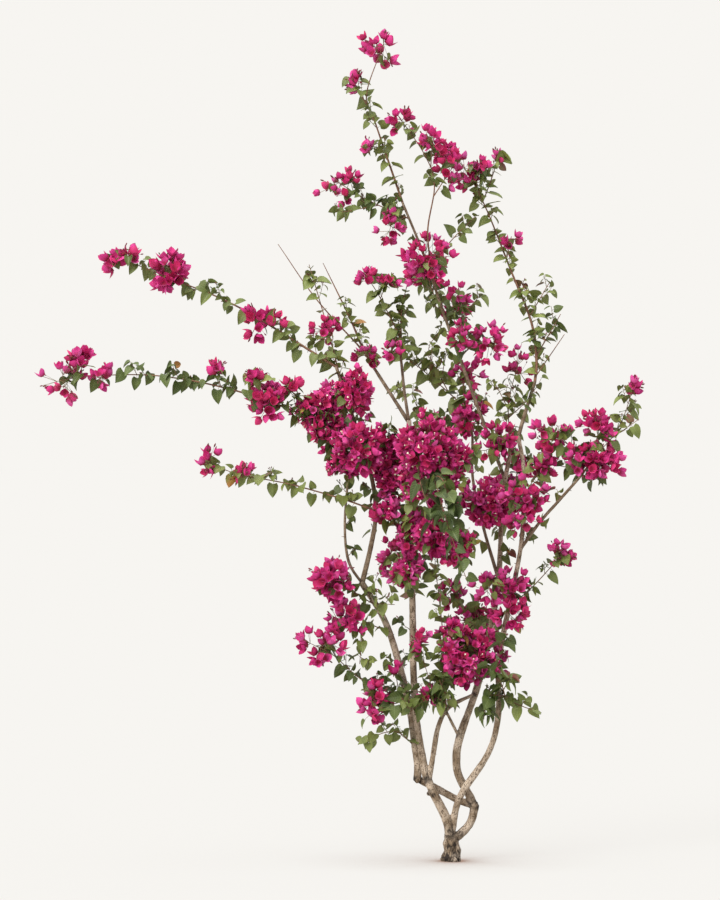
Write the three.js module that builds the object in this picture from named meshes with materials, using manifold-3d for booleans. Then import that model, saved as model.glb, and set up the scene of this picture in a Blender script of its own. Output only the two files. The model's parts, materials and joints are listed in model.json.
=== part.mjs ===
// Bougainvillea bush, rooted in the ground, in millimetres and +Z up. The origin is the middle of the flat
// cut under the trunk, +X is the right of its broad side and -Y the side it is seen from.
// A short flared trunk forks into woven stems, canes rise from these, and every mass of foliage grows from
// one limb by the same seeded rule: sprays with leaves along them and trusses of three-bract blooms at their
// heads.
import * as THREE from "three";
import { mergeVertices } from "three/addons/utils/BufferGeometryUtils.js";
import Module from "manifold-3d";

const wasm = await Module();
wasm.setup();

const gap = 0.3; // clear space between two pieces that meet
const firstSeed = 20;
const up = new THREE.Vector3(0, 0, 1);

const trunk = { height: 97, foot: 33, neck: 23.5, top: 20, lean: -5, sides: 14, flare: 0.1, lobes: 5 };
const limb = { sides: 7, step: 84, thin: 8, thinSides: 5, thinStep: 105 };
const twig = { sides: 3, foot: 5.4, arm: 4.2, tip: 2.6, step: 130 };
const leaf = {
  length: 72,
  width: 56,
  fold: 4.5,
  droop: 7,
  widest: 0.38, // share of the length at which it is widest
  spacing: 46,
  first: 30,
  hang: 0.65,
  upward: 0.7,
  sunk: 0.15,
};
const truss = { small: 50, large: 76, core: 0.28 };
const bloom = { radius: 37, least: 22, dish: 0.3 };
const ball = { step: 8, slack: 1.5, crowd: 0.55 };

// Each limb runs from the tip or side of an earlier one through a few places to its own tip.
const limbs = {
  stem_left: {
    from: "trunk",
    radii: [17.5, 13],
    through: [[-4, -4, 80], [-20, -8, 143], [-67, -20, 238], [-82, -20, 277]],
  },
  stem_right_foot: {
    from: "trunk",
    radii: [15.5, 14.5],
    through: [[5, 4, 75], [43, 10, 102], [66, 15, 137], [77, 18, 187]],
  },
  stem_middle: {
    from: "trunk",
    radii: [12, 6.5],
    through: [
      [0, -6, 88], [12, -12, 172], [38, -16, 237], [122, -2, 363], [155, 6, 490], [160, 0, 690],
      [228, -50, 1053], [238, -40, 1290], [220, -8, 1418],
    ],
  },
  stem_cross: {
    from: "stem_right_foot",
    radii: [12.5, 12.5],
    through: [[74, 20, 184], [42, 32, 193], [10, 36, 206], [-65, 30, 247], [-117, 12, 274]],
  },
  stem_far_left: {
    from: "stem_cross",
    radii: [14, 10],
    through: [
      [-117, 12, 266], [-113, 11, 317], [-122, 10, 383], [-147, 4, 537], [-215, -20, 780],
      [-303, -50, 933],
    ],
  },
  stem_right_inner: {
    from: "stem_right_foot",
    radii: [14, 7],
    through: [
      [77, 18, 180], [57, 24, 219], [23, 20, 283], [15, 14, 340], [27, 10, 415], [93, 16, 612],
      [153, 60, 903], [167, 66, 1133], [179, 50, 1273], [207, 14, 1405],
    ],
  },
  stem_centre: {
    from: "stem_left",
    radii: [12.5, 9],
    through: [
      [-84, -20, 270], [-97, -16, 337], [-118, -22, 470], [-129, -26, 640], [-133, -20, 933],
      [-143, 40, 1470],
    ],
  },
  stem_mid: {
    from: "stem_left",
    radii: [10, 6],
    through: [
      [-79, -22, 268], [-64, -26, 350], [-48, -24, 443], [-23, -20, 500], [10, -16, 527],
      [73, 4, 555],
    ],
  },
  brace: {
    from: "stem_right_inner",
    radii: [5.5, 5],
    through: [[26, 10, 408], [8, -2, 444], [-17, -17, 494]],
  },
  cane_right: {
    from: "stem_middle",
    radii: [7, 5.2],
    through: [[220, -8, 1410], [237, -4, 1471], [277, 12, 1598]],
  },
  cane_tall: {
    from: "stem_right_inner",
    radii: [6.5, 4.2],
    through: [[179, 50, 1270], [117, 65, 1435], [-18, 30, 1800], [-90, 0, 2010], [-165, 0, 2195]],
  },
  bough_diagonal: {
    from: "stem_centre",
    radii: [7, 5],
    through: [[-143, 40, 1462], [-186, 75, 1530], [-262, 130, 1650]],
  },
  bough_vertical: {
    from: "stem_centre",
    radii: [5.5, 4.2],
    through: [[-143, 40, 1462], [-158, 30, 1563], [-170, 20, 1675]],
  },
  bough_left_inner: {
    from: "stem_far_left",
    radii: [9, 4.5],
    through: [
      [-300, -49, 926], [-270, -60, 1053], [-255, -70, 1160], [-270, -75, 1287], [-327, -60, 1470],
      [-387, -30, 1647],
    ],
  },
  bough_left_thin: {
    from: "stem_far_left",
    radii: [5, 4],
    through: [[-296, -48, 921], [-344, -62, 1000], [-357, -90, 1120], [-347, -110, 1270]],
  },
  bough_right: {
    from: "stem_middle",
    radii: [6, 4.2],
    through: [[226, -49, 1040], [288, -75, 1129], [357, -110, 1209], [426, -150, 1289]],
  },
  bough_inner: {
    from: "stem_right_inner",
    radii: [6, 4.4],
    through: [[156, 62, 940], [108, 110, 1110], [73, 130, 1273], [72, 138, 1420]],
  },
  bough_front: {
    from: "stem_centre",
    radii: [7, 5],
    through: [[-139, 8, 1190], [-112, -110, 1262], [-84, -230, 1320]],
  },
  bough_back: {
    from: "stem_centre",
    radii: [7, 5],
    through: [[-141, 20, 1300], [-120, 150, 1390], [-96, 290, 1440]],
  },
};

// Each mass grows from `at`, a share of its limb's length. Its first spray starts there, and each later one
// on the spray `on` at the share `at`. A head is [share of the spray, radius of the truss], and a bare spray
// has no leaves.
const masses = {
  tall_top: { from: "cane_tall", at: 1, sprays: [
    { through: [[-252, -5, 2449], [-285, -5, 2553], [-228, -10, 2724]], heads: [[1, 60]] },
    { on: 0, at: 0.6, through: [[-334, 20, 2612]], heads: [[1, 30]] },
    { on: 0, at: 0.34, through: [[-284, -40, 2382]], heads: [[1, 24]] },
  ] },
  mid_top: { from: "cane_tall", at: 0.7, sprays: [
    {
      through: [[-82, -50, 2089], [-60, -70, 2247], [-92, -75, 2348], [-183, -60, 2484]],
      heads: [[1, 44]],
    },
    { on: 0, at: 0.66, through: [[-67, -120, 2392]], heads: [[1, 48]] },
    { on: 0, at: 0.5, through: [[2, -100, 2310]], heads: [[1, 44]] },
    { on: 0, at: 0.12, through: [[10, 10, 2082], [80, 40, 2150]], heads: [] },
  ] },
  right_top: { from: "cane_right", at: 1, sprays: [
    {
      through: [
        [283, 30, 1670], [267, 60, 1797], [202, 95, 1967], [113, 110, 2190], [40, 90, 2320],
        [-28, 60, 2375],
      ],
      heads: [[0.88, 44], [1, 44]],
    },
    { on: 0, at: 0.74, through: [[135, 130, 2280], [164, 140, 2372]], heads: [[1, 22]] },
    { on: 0, at: 0.8, through: [[95, 60, 2326]], heads: [[1, 34]] },
    { on: 0, at: 0.5, through: [[200, 60, 2085]], heads: [[1, 30]] },
    { on: 0, at: 0.26, through: [[328, 110, 1930]], heads: [] },
    { on: 0, at: 0.1, through: [[362, 0, 1823]], heads: [] },
    { on: 0, at: 0.02, through: [[378, 70, 1757]], heads: [], bare: true },
  ] },
  upper_left: { from: "cane_tall", at: 0.94, sprays: [
    { through: [[-294, 40, 2212], [-392, 60, 2275]], heads: [[1, 50]] },
    { on: 0, at: 0.4, through: [[-366, -10, 2162]], heads: [] },
    { on: 0, at: 0.05, through: [[-222, -60, 2118]], heads: [[1, 50]] },
  ] },
  head_upper: { from: "cane_tall", at: 0.79, sprays: [
    { through: [[-88, -62, 2005]], heads: [[1, 84]] },
  ] },
  upright: { from: "bough_vertical", at: 1, sprays: [
    { through: [[-170, 16, 1770], [-167, 30, 1843], [-146, 50, 1935]], heads: [] },
    { on: 0, at: 0.25, through: [[-243, -10, 1883], [-293, -10, 1960]], heads: [[1, 34]] },
    { on: 1, at: 0.6, through: [[-214, -50, 1936]], heads: [[1, 28]] },
    { on: 0, at: 0.06, through: [[-204, -40, 1702]], heads: [[1, 30]] },
  ] },
  inner_top: { from: "bough_inner", at: 1, sprays: [
    { through: [[48, 140, 1500], [43, 130, 1603], [62, 120, 1645]], heads: [[1, 44]] },
    { on: 0, at: 0.42, through: [[-70, 130, 1617], [-140, 120, 1672]], heads: [] },
    { on: 1, at: 0.45, through: [[-16, 120, 1702]], heads: [] },
    { on: 0, at: 0.3, through: [[85, 80, 1520]], heads: [[1, 38]] },
    { on: 0, at: 0.05, through: [[42, 90, 1465]], heads: [[1, 40]] },
  ] },
  tall_right: { from: "cane_tall", at: 0.44, sprays: [
    { through: [[68, 0, 1716], [140, -20, 1748]], heads: [[1, 56]] },
    { on: 0, at: 0.4, through: [[14, -50, 1748]], heads: [[1, 38]] },
    { on: 0, at: 0.15, through: [[30, 60, 1800], [88, 70, 1880]], heads: [] },
    { on: 2, at: 0.3, through: [[22, 0, 1905]], heads: [[1, 40]] },
  ] },
  junction: { from: "stem_right_inner", at: 0.97, sprays: [
    { through: [[190, 60, 1520], [217, 50, 1640]], heads: [[1, 56]] },
    { on: 0, at: 0.1, through: [[160, -40, 1400]], heads: [[1, 56]] },
    { on: 1, at: 0.4, through: [[108, -50, 1368]], heads: [[1, 28]] },
  ] },
  spray_left_upper: { from: "bough_left_inner", at: 1, sprays: [
    { through: [[-705, 20, 1843], [-923, 60, 1938], [-1145, 90, 2026]], heads: [[1, 46], [0.36, 58]] },
    { on: 0, at: 0.7, through: [[-948, 40, 1982]], heads: [[1, 70]] },
    { on: 0, at: 0.88, through: [[-1078, 70, 2032]], heads: [[1, 30]] },
  ] },
  left_upper_shoot: { from: "bough_left_inner", at: 0.92, sprays: [
    { through: [[-418, 20, 1787], [-477, 40, 1990]], heads: [[0.5, 50]] },
  ] },
  spray_left_middle: { from: "bough_left_inner", at: 0.62, sprays: [
    {
      through: [
        [-492, -150, 1484], [-712, -210, 1564], [-961, -260, 1612], [-1180, -285, 1612],
        [-1286, -290, 1596],
      ],
      heads: [[1, 50], [0.88, 36], [0.36, 68]],
    },
    { on: 0, at: 0.93, through: [[-1222, -290, 1680]], heads: [[1, 48]] },
    { on: 0, at: 0.5, through: [[-780, -230, 1645]], heads: [[1, 28]] },
  ] },
  spray_left_lower: { from: "stem_centre", at: 0.67, sprays: [
    {
      through: [[-262, -112, 1170], [-511, -122, 1250], [-707, -112, 1290], [-818, -104, 1330]],
      heads: [[1, 42], [0.86, 34], [0.24, 28]],
    },
  ] },
  head_left_large: { from: "bough_left_inner", at: 0.76, sprays: [
    { through: [[-322, -100, 1577]], heads: [[1, 84]] },
    { on: 0, at: 0.3, through: [[-448, -100, 1503]], heads: [[1, 88]] },
    { on: 1, at: 0.5, through: [[-398, -130, 1420]], heads: [[1, 46]] },
  ] },
  whips: { from: "bough_diagonal", at: 1, sprays: [
    { through: [[-298, 160, 1714], [-343, 190, 1820], [-432, 220, 2003]], heads: [] },
    { on: 0, at: 0.15, through: [[-453, 175, 1878], [-584, 200, 2066]], heads: [], bare: true },
    { on: 0, at: 0.04, through: [[-286, 90, 1690]], heads: [[1, 34]] },
  ] },
  head_left_low: { from: "bough_left_thin", at: 1, sprays: [
    { through: [[-313, -170, 1390]], heads: [[1, 84]] },
    { on: 0, at: 0.3, through: [[-360, -140, 1300]], heads: [[1, 36]] },
  ] },
  head_centre_left: { from: "stem_centre", at: 0.82, sprays: [
    { through: [[-205, -90, 1322]], heads: [[1, 96]] },
  ] },
  head_centre_front: { from: "bough_front", at: 1, sprays: [
    { through: [[-80, -250, 1382]], heads: [[1, 105]] },
    { on: 0, at: 0.3, through: [[30, -180, 1350]], heads: [[1, 64]] },
  ] },
  front_hanging: { from: "bough_front", at: 0.8, sprays: [
    { through: [[-62, -330, 1262], [-30, -400, 1150], [22, -430, 990]], heads: [] },
  ] },
  head_under_left: { from: "stem_centre", at: 0.64, sprays: [
    { through: [[-170, -100, 1103]], heads: [[1, 66]] },
    { on: 0, at: 0.3, through: [[-158, -110, 970]], heads: [[1, 60]] },
  ] },
  head_under_right: { from: "stem_centre", at: 0.7, sprays: [
    { through: [[-56, -150, 1090]], heads: [[1, 86]] },
    { on: 0, at: 0.8, through: [[46, -140, 1056]], heads: [[1, 66]] },
  ] },
  head_right_mid: { from: "stem_right_inner", at: 0.79, sprays: [
    { through: [[108, -60, 1204]], heads: [[1, 92]] },
  ] },
  right_mid: { from: "stem_middle", at: 0.86, sprays: [
    { through: [[246, -120, 1204]], heads: [[1, 66]] },
    { on: 0, at: 0.2, through: [[310, -70, 1336]], heads: [[1, 40]] },
    { on: 0, at: 0.7, through: [[210, -130, 1110]], heads: [[1, 40]] },
  ] },
  right_spray: { from: "bough_right", at: 1, sprays: [
    { through: [[467, -160, 1353]], heads: [[1, 92]] },
    { on: 0, at: 0.9, through: [[545, -150, 1440], [600, -140, 1590]], heads: [[1, 30]] },
    { on: 1, at: 0.3, through: [[612, -170, 1472]], heads: [] },
    { on: 0, at: 0.5, through: [[345, -140, 1424]], heads: [[1, 48]] },
    { on: 0, at: 0.7, through: [[490, -140, 1468]], heads: [[1, 56]] },
  ] },
  low_right: { from: "stem_middle", at: 0.58, sprays: [
    { through: [[267, -60, 917], [370, -60, 1030]], heads: [[1, 42]] },
    { on: 0, at: 0.12, through: [[178, -100, 945]], heads: [[1, 52]] },
    { on: 0, at: 0.06, through: [[184, -100, 830]], heads: [[1, 74]] },
  ] },
  head_low: { from: "stem_right_inner", at: 0.42, sprays: [
    { through: [[50, -70, 705]], heads: [[1, 112]] },
  ] },
  low_right_leaves: { from: "stem_middle", at: 0.36, sprays: [
    { through: [[172, -80, 560], [150, -110, 640], [158, -110, 735]], heads: [] },
    { on: 0, at: 0.12, through: [[230, -60, 520], [296, -50, 498]], heads: [] },
    { on: 0, at: 0.3, through: [[120, -110, 560]], heads: [] },
  ] },
  low_centre: { from: "stem_mid", at: 0.7, sprays: [
    { through: [[-30, -60, 600], [-32, -60, 760], [-58, -50, 995]], heads: [] },
    { on: 0, at: 0.06, through: [[-90, -90, 560]], heads: [[1, 26]] },
    { on: 0, at: 0.12, through: [[-40, -120, 545]], heads: [] },
    { on: 1, at: 0.5, through: [[-120, -110, 742]], heads: [[1, 38]] },
  ] },
  low_left_high: { from: "stem_far_left", at: 0.86, sprays: [
    { through: [[-338, -90, 905], [-413, -110, 952]], heads: [[1, 78]] },
    { on: 0, at: 0.1, through: [[-232, -90, 860]], heads: [] },
  ] },
  low_left_mid: { from: "stem_far_left", at: 0.72, sprays: [
    { through: [[-287, -60, 800], [-348, -90, 845]], heads: [[1, 60]] },
    { on: 0, at: 0.6, through: [[-308, -70, 660]], heads: [] },
  ] },
  low_left_low: { from: "stem_far_left", at: 0.38, sprays: [
    {
      through: [[-225, -50, 570], [-313, -70, 617], [-395, -90, 690], [-455, -100, 722]],
      heads: [[1, 66]],
    },
    { on: 0, at: 0.3, through: [[-266, -110, 548]], heads: [[1, 64]] },
    { on: 0, at: 0.1, through: [[-190, -70, 640]], heads: [[1, 24]] },
  ] },
  lowest_left: { from: "stem_far_left", at: 0.16, sprays: [
    { through: [[-175, -20, 428], [-225, -30, 430], [-282, -40, 405]], heads: [] },
  ] },
  back_high: { from: "cane_tall", at: 0.6, sprays: [
    { through: [[-60, 150, 1900], [-90, 240, 2000]], heads: [[1, 70]] },
    { on: 0, at: 0.4, through: [[20, 220, 1840]], heads: [[1, 40]] },
  ] },
  back_centre: { from: "bough_back", at: 1, sprays: [
    { through: [[-60, 400, 1450], [-20, 520, 1400]], heads: [[0.6, 60], [1, 60]] },
    { on: 0, at: 0.2, through: [[-130, 360, 1560]], heads: [[1, 76]] },
    { on: 0, at: 0.3, through: [[60, 380, 1480]], heads: [[1, 56]] },
  ] },
  back_left: { from: "bough_left_inner", at: 0.7, sprays: [
    { through: [[-340, 100, 1480], [-372, 250, 1545]], heads: [[1, 78]] },
    { on: 0, at: 0.5, through: [[-400, 180, 1400]], heads: [[1, 50]] },
  ] },
  back_right: { from: "stem_right_inner", at: 0.72, sprays: [
    { through: [[190, 200, 1180], [180, 340, 1225]], heads: [[1, 80]] },
    { on: 0, at: 0.5, through: [[240, 270, 1330]], heads: [[1, 44]] },
  ] },
  back_low: { from: "stem_right_inner", at: 0.5, sprays: [
    { through: [[110, 120, 760], [80, 250, 800]], heads: [[1, 76]] },
    { on: 0, at: 0.6, through: [[0, 230, 900]], heads: [[1, 44]] },
  ] },
  back_left_low: { from: "stem_centre", at: 0.5, sprays: [
    { through: [[-160, 110, 960], [-200, 230, 1010]], heads: [[1, 66]] },
    { on: 0, at: 0.5, through: [[-110, 200, 1090]], heads: [[1, 44]] },
  ] },
};

const colours = { bark: 0xa08e76, leaves: 0x5d7a3c, blossom: 0xc01f68 };
const finish = { roughness: 0.75, metalness: 0 };

// The same seed always gives the same run of numbers from 0 to 1.
function randomFrom(seed) {
  let state = seed >>> 0;
  return () => {
    state = (Math.imul(state, 1664525) + 1013904223) >>> 0;
    return state / 2 ** 32;
  };
}

// Points at even steps along a smooth line through the places.
function smoothLine(places, step) {
  const points = places.map((p) => new THREE.Vector3(...p));
  const curve = new THREE.CatmullRomCurve3(points, false, "catmullrom", 0.5);
  return curve.getSpacedPoints(Math.max(1, Math.round(curve.getLength() / step)));
}

function pointOn(line, share) {
  const reach = Math.min(share, 1) * (line.length - 1);
  const start = Math.min(Math.floor(reach), line.length - 2);
  return line[start].clone().lerp(line[start + 1], reach - start);
}

function directionOn(line, share) {
  const ahead = pointOn(line, Math.min(1, share + 0.02));
  return ahead.sub(pointOn(line, Math.max(0, share - 0.02))).normalize();
}

function solidOf(geometry) {
  geometry.deleteAttribute("normal");
  geometry.deleteAttribute("uv");
  const welded = mergeVertices(geometry, 1e-4);
  const vertProperties = new Float32Array(welded.attributes.position.array);
  const triVerts = new Uint32Array(welded.index.array);
  return new wasm.Manifold(new wasm.Mesh({ numProp: 3, vertProperties, triVerts }));
}

// Where each point of a line is, and two directions square to the line there that do not twist along it.
function ringsAlong(line) {
  const last = line.length - 1;
  let side = new THREE.Vector3(1, 0.1, 0.05);
  return line.map((at, i) => {
    const along = line[Math.min(i + 1, last)].clone().sub(line[Math.max(i - 1, 0)]).normalize();
    side = side.clone().addScaledVector(along, -side.dot(along)).normalize();
    return { at, side, front: side.clone().cross(along) };
  });
}

// A tapered limb: a cylinder whose rings are set square to the line.
function tube(line, radiusAt, sides) {
  const steps = line.length - 1;
  const shape = new THREE.CylinderGeometry(1, 1, steps, sides, steps);
  const rings = ringsAlong(line);
  const position = shape.attributes.position;
  for (let i = 0; i < position.count; i++) {
    const ring = Math.round(position.getY(i) + steps / 2);
    const { at, side: across, front } = rings[ring];
    const radius = radiusAt(ring / steps);
    const p = at.clone().addScaledVector(across, position.getX(i) * radius);
    p.addScaledVector(front, position.getZ(i) * radius);
    position.setXYZ(i, p.x, p.y, p.z);
  }
  return solidOf(shape);
}

const taper = (foot, tip) => (share) => foot + (tip - foot) * share;

// The trunk is a turned profile with a lobed root flare, and leans a little as it rises to the fork.
function trunkSolid(grow) {
  const { height, foot, neck, top, lean, sides, flare, lobes } = trunk;
  const flank = [
    [foot, 0],
    [foot * 0.9, 14],
    [neck * 1.04, 40],
    [neck, 66],
    [top, height - 10],
    [top * 0.6, height],
  ];
  const profile = [[0, 0], ...flank.map(([r, z]) => [r + grow, z]), [0, height]];
  const shape = new THREE.LatheGeometry(profile.map(([r, z]) => new THREE.Vector2(r, z)), sides);
  shape.rotateX(Math.PI / 2);
  const position = shape.attributes.position;
  for (let i = 0; i < position.count; i++) {
    const [x, y, z] = [position.getX(i), position.getY(i), position.getZ(i)];
    const swell = 1 + flare * Math.max(0, 1 - z / (height / 2)) * Math.cos(lobes * Math.atan2(y, x));
    position.setXYZ(i, x * swell + lean * (z / height), y * swell, z);
  }
  return solidOf(shape);
}

function largestPiece(solid) {
  return solid.decompose().sort((a, b) => b.volume() - a.volume())[0];
}

// A folded leaf of four faces: its root, drooping tip and two raised sides.
function leafShape(size) {
  const [long, side] = [leaf.length * size, (leaf.width * size) / 2];
  const [rise, fall] = [leaf.fold * size, leaf.droop * size];
  const middle = leaf.widest * long;
  const corners = [[0, 0, 0], [0, long, -fall], [-side, middle, rise], [side, middle, rise]];
  const shape = new THREE.BufferGeometry().setFromPoints(corners.map((p) => new THREE.Vector3(...p)));
  return shape.setIndex([0, 2, 1, 0, 1, 3, 0, 3, 2, 1, 2, 3]);
}

// Sets a leaf with its root at a point, its length along `out` and its face turned towards `face`.
function placed(shape, root, out, face) {
  const across = out.clone().cross(face).normalize();
  const basis = new THREE.Matrix4().makeBasis(across, out, across.clone().cross(out));
  shape.applyMatrix4(basis.setPosition(root));
  return solidOf(shape);
}

// Balls that cover a line, for finding what is in the way of a twig, leaf or bloom.
function ballsAlong(from, to, radius) {
  const count = Math.max(1, Math.ceil(from.distanceTo(to) / ball.step));
  return Array.from({ length: count + 1 }, (_, i) => ({ at: from.clone().lerp(to, i / count), radius }));
}

// What is taken so far: `node` is the solid it belongs to and `part` the twig, leaf or truss of that solid.
const taken = [];

function take(balls, node, part) {
  balls.forEach((b) => taken.push({ ...b, node, part }));
}

// Other solids are kept right off, and leaves and blooms of the same one are only kept from crowding.
function isClear(balls, node, part) {
  return taken.every((t) => {
    if (t.node === node && (t.part === "spray" || t.part === part)) return true;
    const share = t.node === node ? ball.crowd : 1;
    return balls.every((b) => b.at.distanceTo(t.at) > (b.radius + t.radius) * share + ball.slack);
  });
}

const lines = { trunk: [new THREE.Vector3(0, 0, 0), new THREE.Vector3(trunk.lean, 0, trunk.height)] };
const cutters = { trunk: trunkSolid(gap) };
const group = new THREE.Group();

function addNode(name, solid, colour) {
  const { numProp, vertProperties, triVerts } = solid.getMesh();
  const geometry = new THREE.BufferGeometry();
  const corners = new THREE.InterleavedBuffer(new Float32Array(vertProperties), numProp);
  geometry.setAttribute("position", new THREE.InterleavedBufferAttribute(corners, 3, 0));
  geometry.setIndex(new THREE.BufferAttribute(new Uint32Array(triVerts), 1));
  const material = new THREE.MeshStandardMaterial({ color: colour, ...finish });
  const mesh = new THREE.Mesh(geometry.toNonIndexed(), material);
  mesh.geometry.computeVertexNormals();
  mesh.name = name;
  group.add(mesh);
}

// The same line, a gap longer at both ends.
function lengthened(line) {
  const beyond = (end, near) => end.clone().addScaledVector(end.clone().sub(near).normalize(), gap);
  return [beyond(line[0], line[1]), ...line.slice(1, -1), beyond(line.at(-1), line.at(-2))];
}

function addLimb(name, { radii: [foot, tip], through }) {
  const line = smoothLine(through, foot < limb.thin ? limb.thinStep : limb.step);
  const sides = foot < limb.thin ? limb.thinSides : limb.sides;
  let solid = tube(line, taper(foot, tip), sides);
  for (const cutter of Object.values(cutters)) solid = solid.subtract(cutter);
  addNode(name, largestPiece(solid), colours.bark);
  lines[name] = line;
  cutters[name] = tube(lengthened(line), taper(foot + gap, tip + gap), sides);
  line.slice(1).forEach((to, i) => take(ballsAlong(line[i], to, foot), name, "limb"));
}

// The lines of a mass's sprays, each starting on its limb or on an earlier spray.
function sprayLines({ from, at, sprays }) {
  const made = [];
  for (const spray of sprays) {
    const parent = spray.on === undefined ? lines[from] : made[spray.on];
    const start = pointOn(parent, spray.on === undefined ? at : spray.at);
    made.push(smoothLine([start.toArray(), ...spray.through], twig.step));
  }
  return made;
}

// Leaves stand on the three sides of a spray in turn, lean forward and droop.
function leavesOn(line, radiusAt, name, random) {
  const made = [];
  const length = line.slice(1).reduce((sum, p, i) => sum + p.distanceTo(line[i]), 0);
  const count = Math.floor((length - leaf.first) / leaf.spacing) + 1;
  const rings = ringsAlong(line);
  const start = Math.floor(random() * twig.sides);
  for (let i = 0; i < count; i++) {
    const share = (leaf.first + i * leaf.spacing) / length;
    const [size, sway, turn] = [0.8 + 0.3 * random(), random() - 0.5, random() * 2 * Math.PI];
    const { side, front } = rings[Math.round(share * (rings.length - 1))];
    const along = directionOn(line, share);
    const angle = ((start + i + 0.5) * 2 * Math.PI) / twig.sides;
    const away = side.clone().multiplyScalar(Math.sin(angle)).addScaledVector(front, Math.cos(angle));
    const root = pointOn(line, share).addScaledVector(away, radiusAt(share) * leaf.sunk);
    const out = away.addScaledVector(along, 0.5 + 0.3 * sway).addScaledVector(up, -leaf.hang).normalize();
    const ballAt = (reach, radius) => ({
      at: root.clone().addScaledVector(out, leaf.length * size * reach),
      radius: leaf.width * size * radius,
    });
    const balls = [ballAt(leaf.widest + 0.04, 0.51), ballAt(0.88, 0.18)];
    if (!isClear(balls, name, "leaf")) continue;
    take(balls, name, taken.length);
    const face = new THREE.Vector3(Math.cos(turn), Math.sin(turn), leaf.upward);
    made.push(placed(leafShape(size), root, out, face));
  }
  return made;
}

// A truss is a small ball of triangles turned with its first one to the twig that carries it, and each of the
// others drawn out into a bloom: three bracts that flare from the ball to a three-cornered dished mouth.
function trussAt(hub, back, radius, name, random) {
  const inner = radius * truss.core;
  const part = taken.length;
  const heart = radius < truss.small ? new THREE.TetrahedronGeometry(inner)
    : radius < truss.large ? new THREE.OctahedronGeometry(inner) : new THREE.IcosahedronGeometry(inner);
  const corners = heart.attributes.position;
  const cornerAt = (i) => new THREE.Vector3().fromBufferAttribute(corners, i);
  const middleOf = (i) => cornerAt(i).add(cornerAt(i + 1)).add(cornerAt(i + 2)).normalize();
  heart.applyQuaternion(new THREE.Quaternion().setFromUnitVectors(middleOf(0), back));
  heart.applyQuaternion(new THREE.Quaternion().setFromAxisAngle(back, random() * 2 * Math.PI));
  const points = [];
  let blooms = 0;
  for (let i = 0; i < corners.count; i += 3) {
    const face = [0, 1, 2].map((k) => cornerAt(i + k));
    const out = middleOf(i);
    const reach = radius * (0.86 + 0.24 * random());
    const wide = Math.max(bloom.least, Math.min(bloom.radius, radius * 0.62)) * (0.85 + 0.2 * random());
    const balls = [
      { at: hub.clone().addScaledVector(out, reach * 0.55), radius: wide * 0.6 },
      { at: hub.clone().addScaledVector(out, reach * 0.97), radius: wide },
    ];
    if (i === 0 || !isClear(balls, name, part)) {
      points.push(...face);
      continue;
    }
    take(balls, name, part);
    blooms += 1;
    const mouth = face.map((p) => {
      const tip = p.clone().addScaledVector(out, -p.dot(out)).setLength(wide);
      return tip.addScaledVector(out, reach);
    });
    const dish = out.clone().multiplyScalar(reach - bloom.radius * bloom.dish);
    for (const [k, next] of [[0, 1], [1, 2], [2, 0]]) {
      points.push(face[k], face[next], mouth[next], face[k], mouth[next], mouth[k]);
      points.push(mouth[k], mouth[next], dish);
    }
  }
  const shape = new THREE.BufferGeometry().setFromPoints(points).translate(hub.x, hub.y, hub.z);
  return { solid: solidOf(shape), blooms };
}

function growMass(name, mass, made, seed) {
  const random = randomFrom(seed);
  const pieces = [];
  let leaves = 0;
  let blooms = 0;
  mass.sprays.forEach((spray, i) => {
    const foot = spray.on === undefined ? twig.foot : twig.arm;
    pieces.push(tube(made[i], taper(foot, twig.tip), twig.sides));
    for (const [share, radius] of spray.heads) {
      const back = directionOn(made[i], share).negate();
      const grown = trussAt(pointOn(made[i], share), back, radius, name, random);
      blooms += grown.blooms;
      pieces.push(grown.solid);
    }
    if (!spray.bare) {
      const grown = leavesOn(made[i], taper(foot, twig.tip), name, random);
      leaves += grown.length;
      pieces.push(...grown);
    }
  });
  let solid = wasm.Manifold.union(pieces);
  for (const cutter of Object.values(cutters)) solid = solid.subtract(cutter);
  addNode(name, largestPiece(solid), blooms * 2 > leaves ? colours.blossom : colours.leaves);
}

addNode("trunk", trunkSolid(0), colours.bark);
Object.entries(limbs).forEach(([name, row]) => addLimb(name, row));

const sprayLinesOf = {};
for (const name of Object.keys(masses)) {
  sprayLinesOf[name] = sprayLines(masses[name]);
}
for (const [name, made] of Object.entries(sprayLinesOf)) {
  made.forEach((line, k) => {
    line.slice(1).forEach((to, i) => take(ballsAlong(line[i], to, twig.foot), name, "spray"));
    for (const [share, radius] of masses[name].sprays[k].heads) {
      take([{ at: pointOn(line, share), radius: radius * truss.core }], name, "spray");
    }
  });
}
Object.entries(masses).forEach(([name, mass], i) => growMass(name, mass, sprayLinesOf[name], firstSeed + i));

export default group;
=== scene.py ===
import itertools
import json
import math
import bpy
import numpy as np
from mathutils import Matrix, Quaternion, Vector, kdtree, noise

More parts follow.
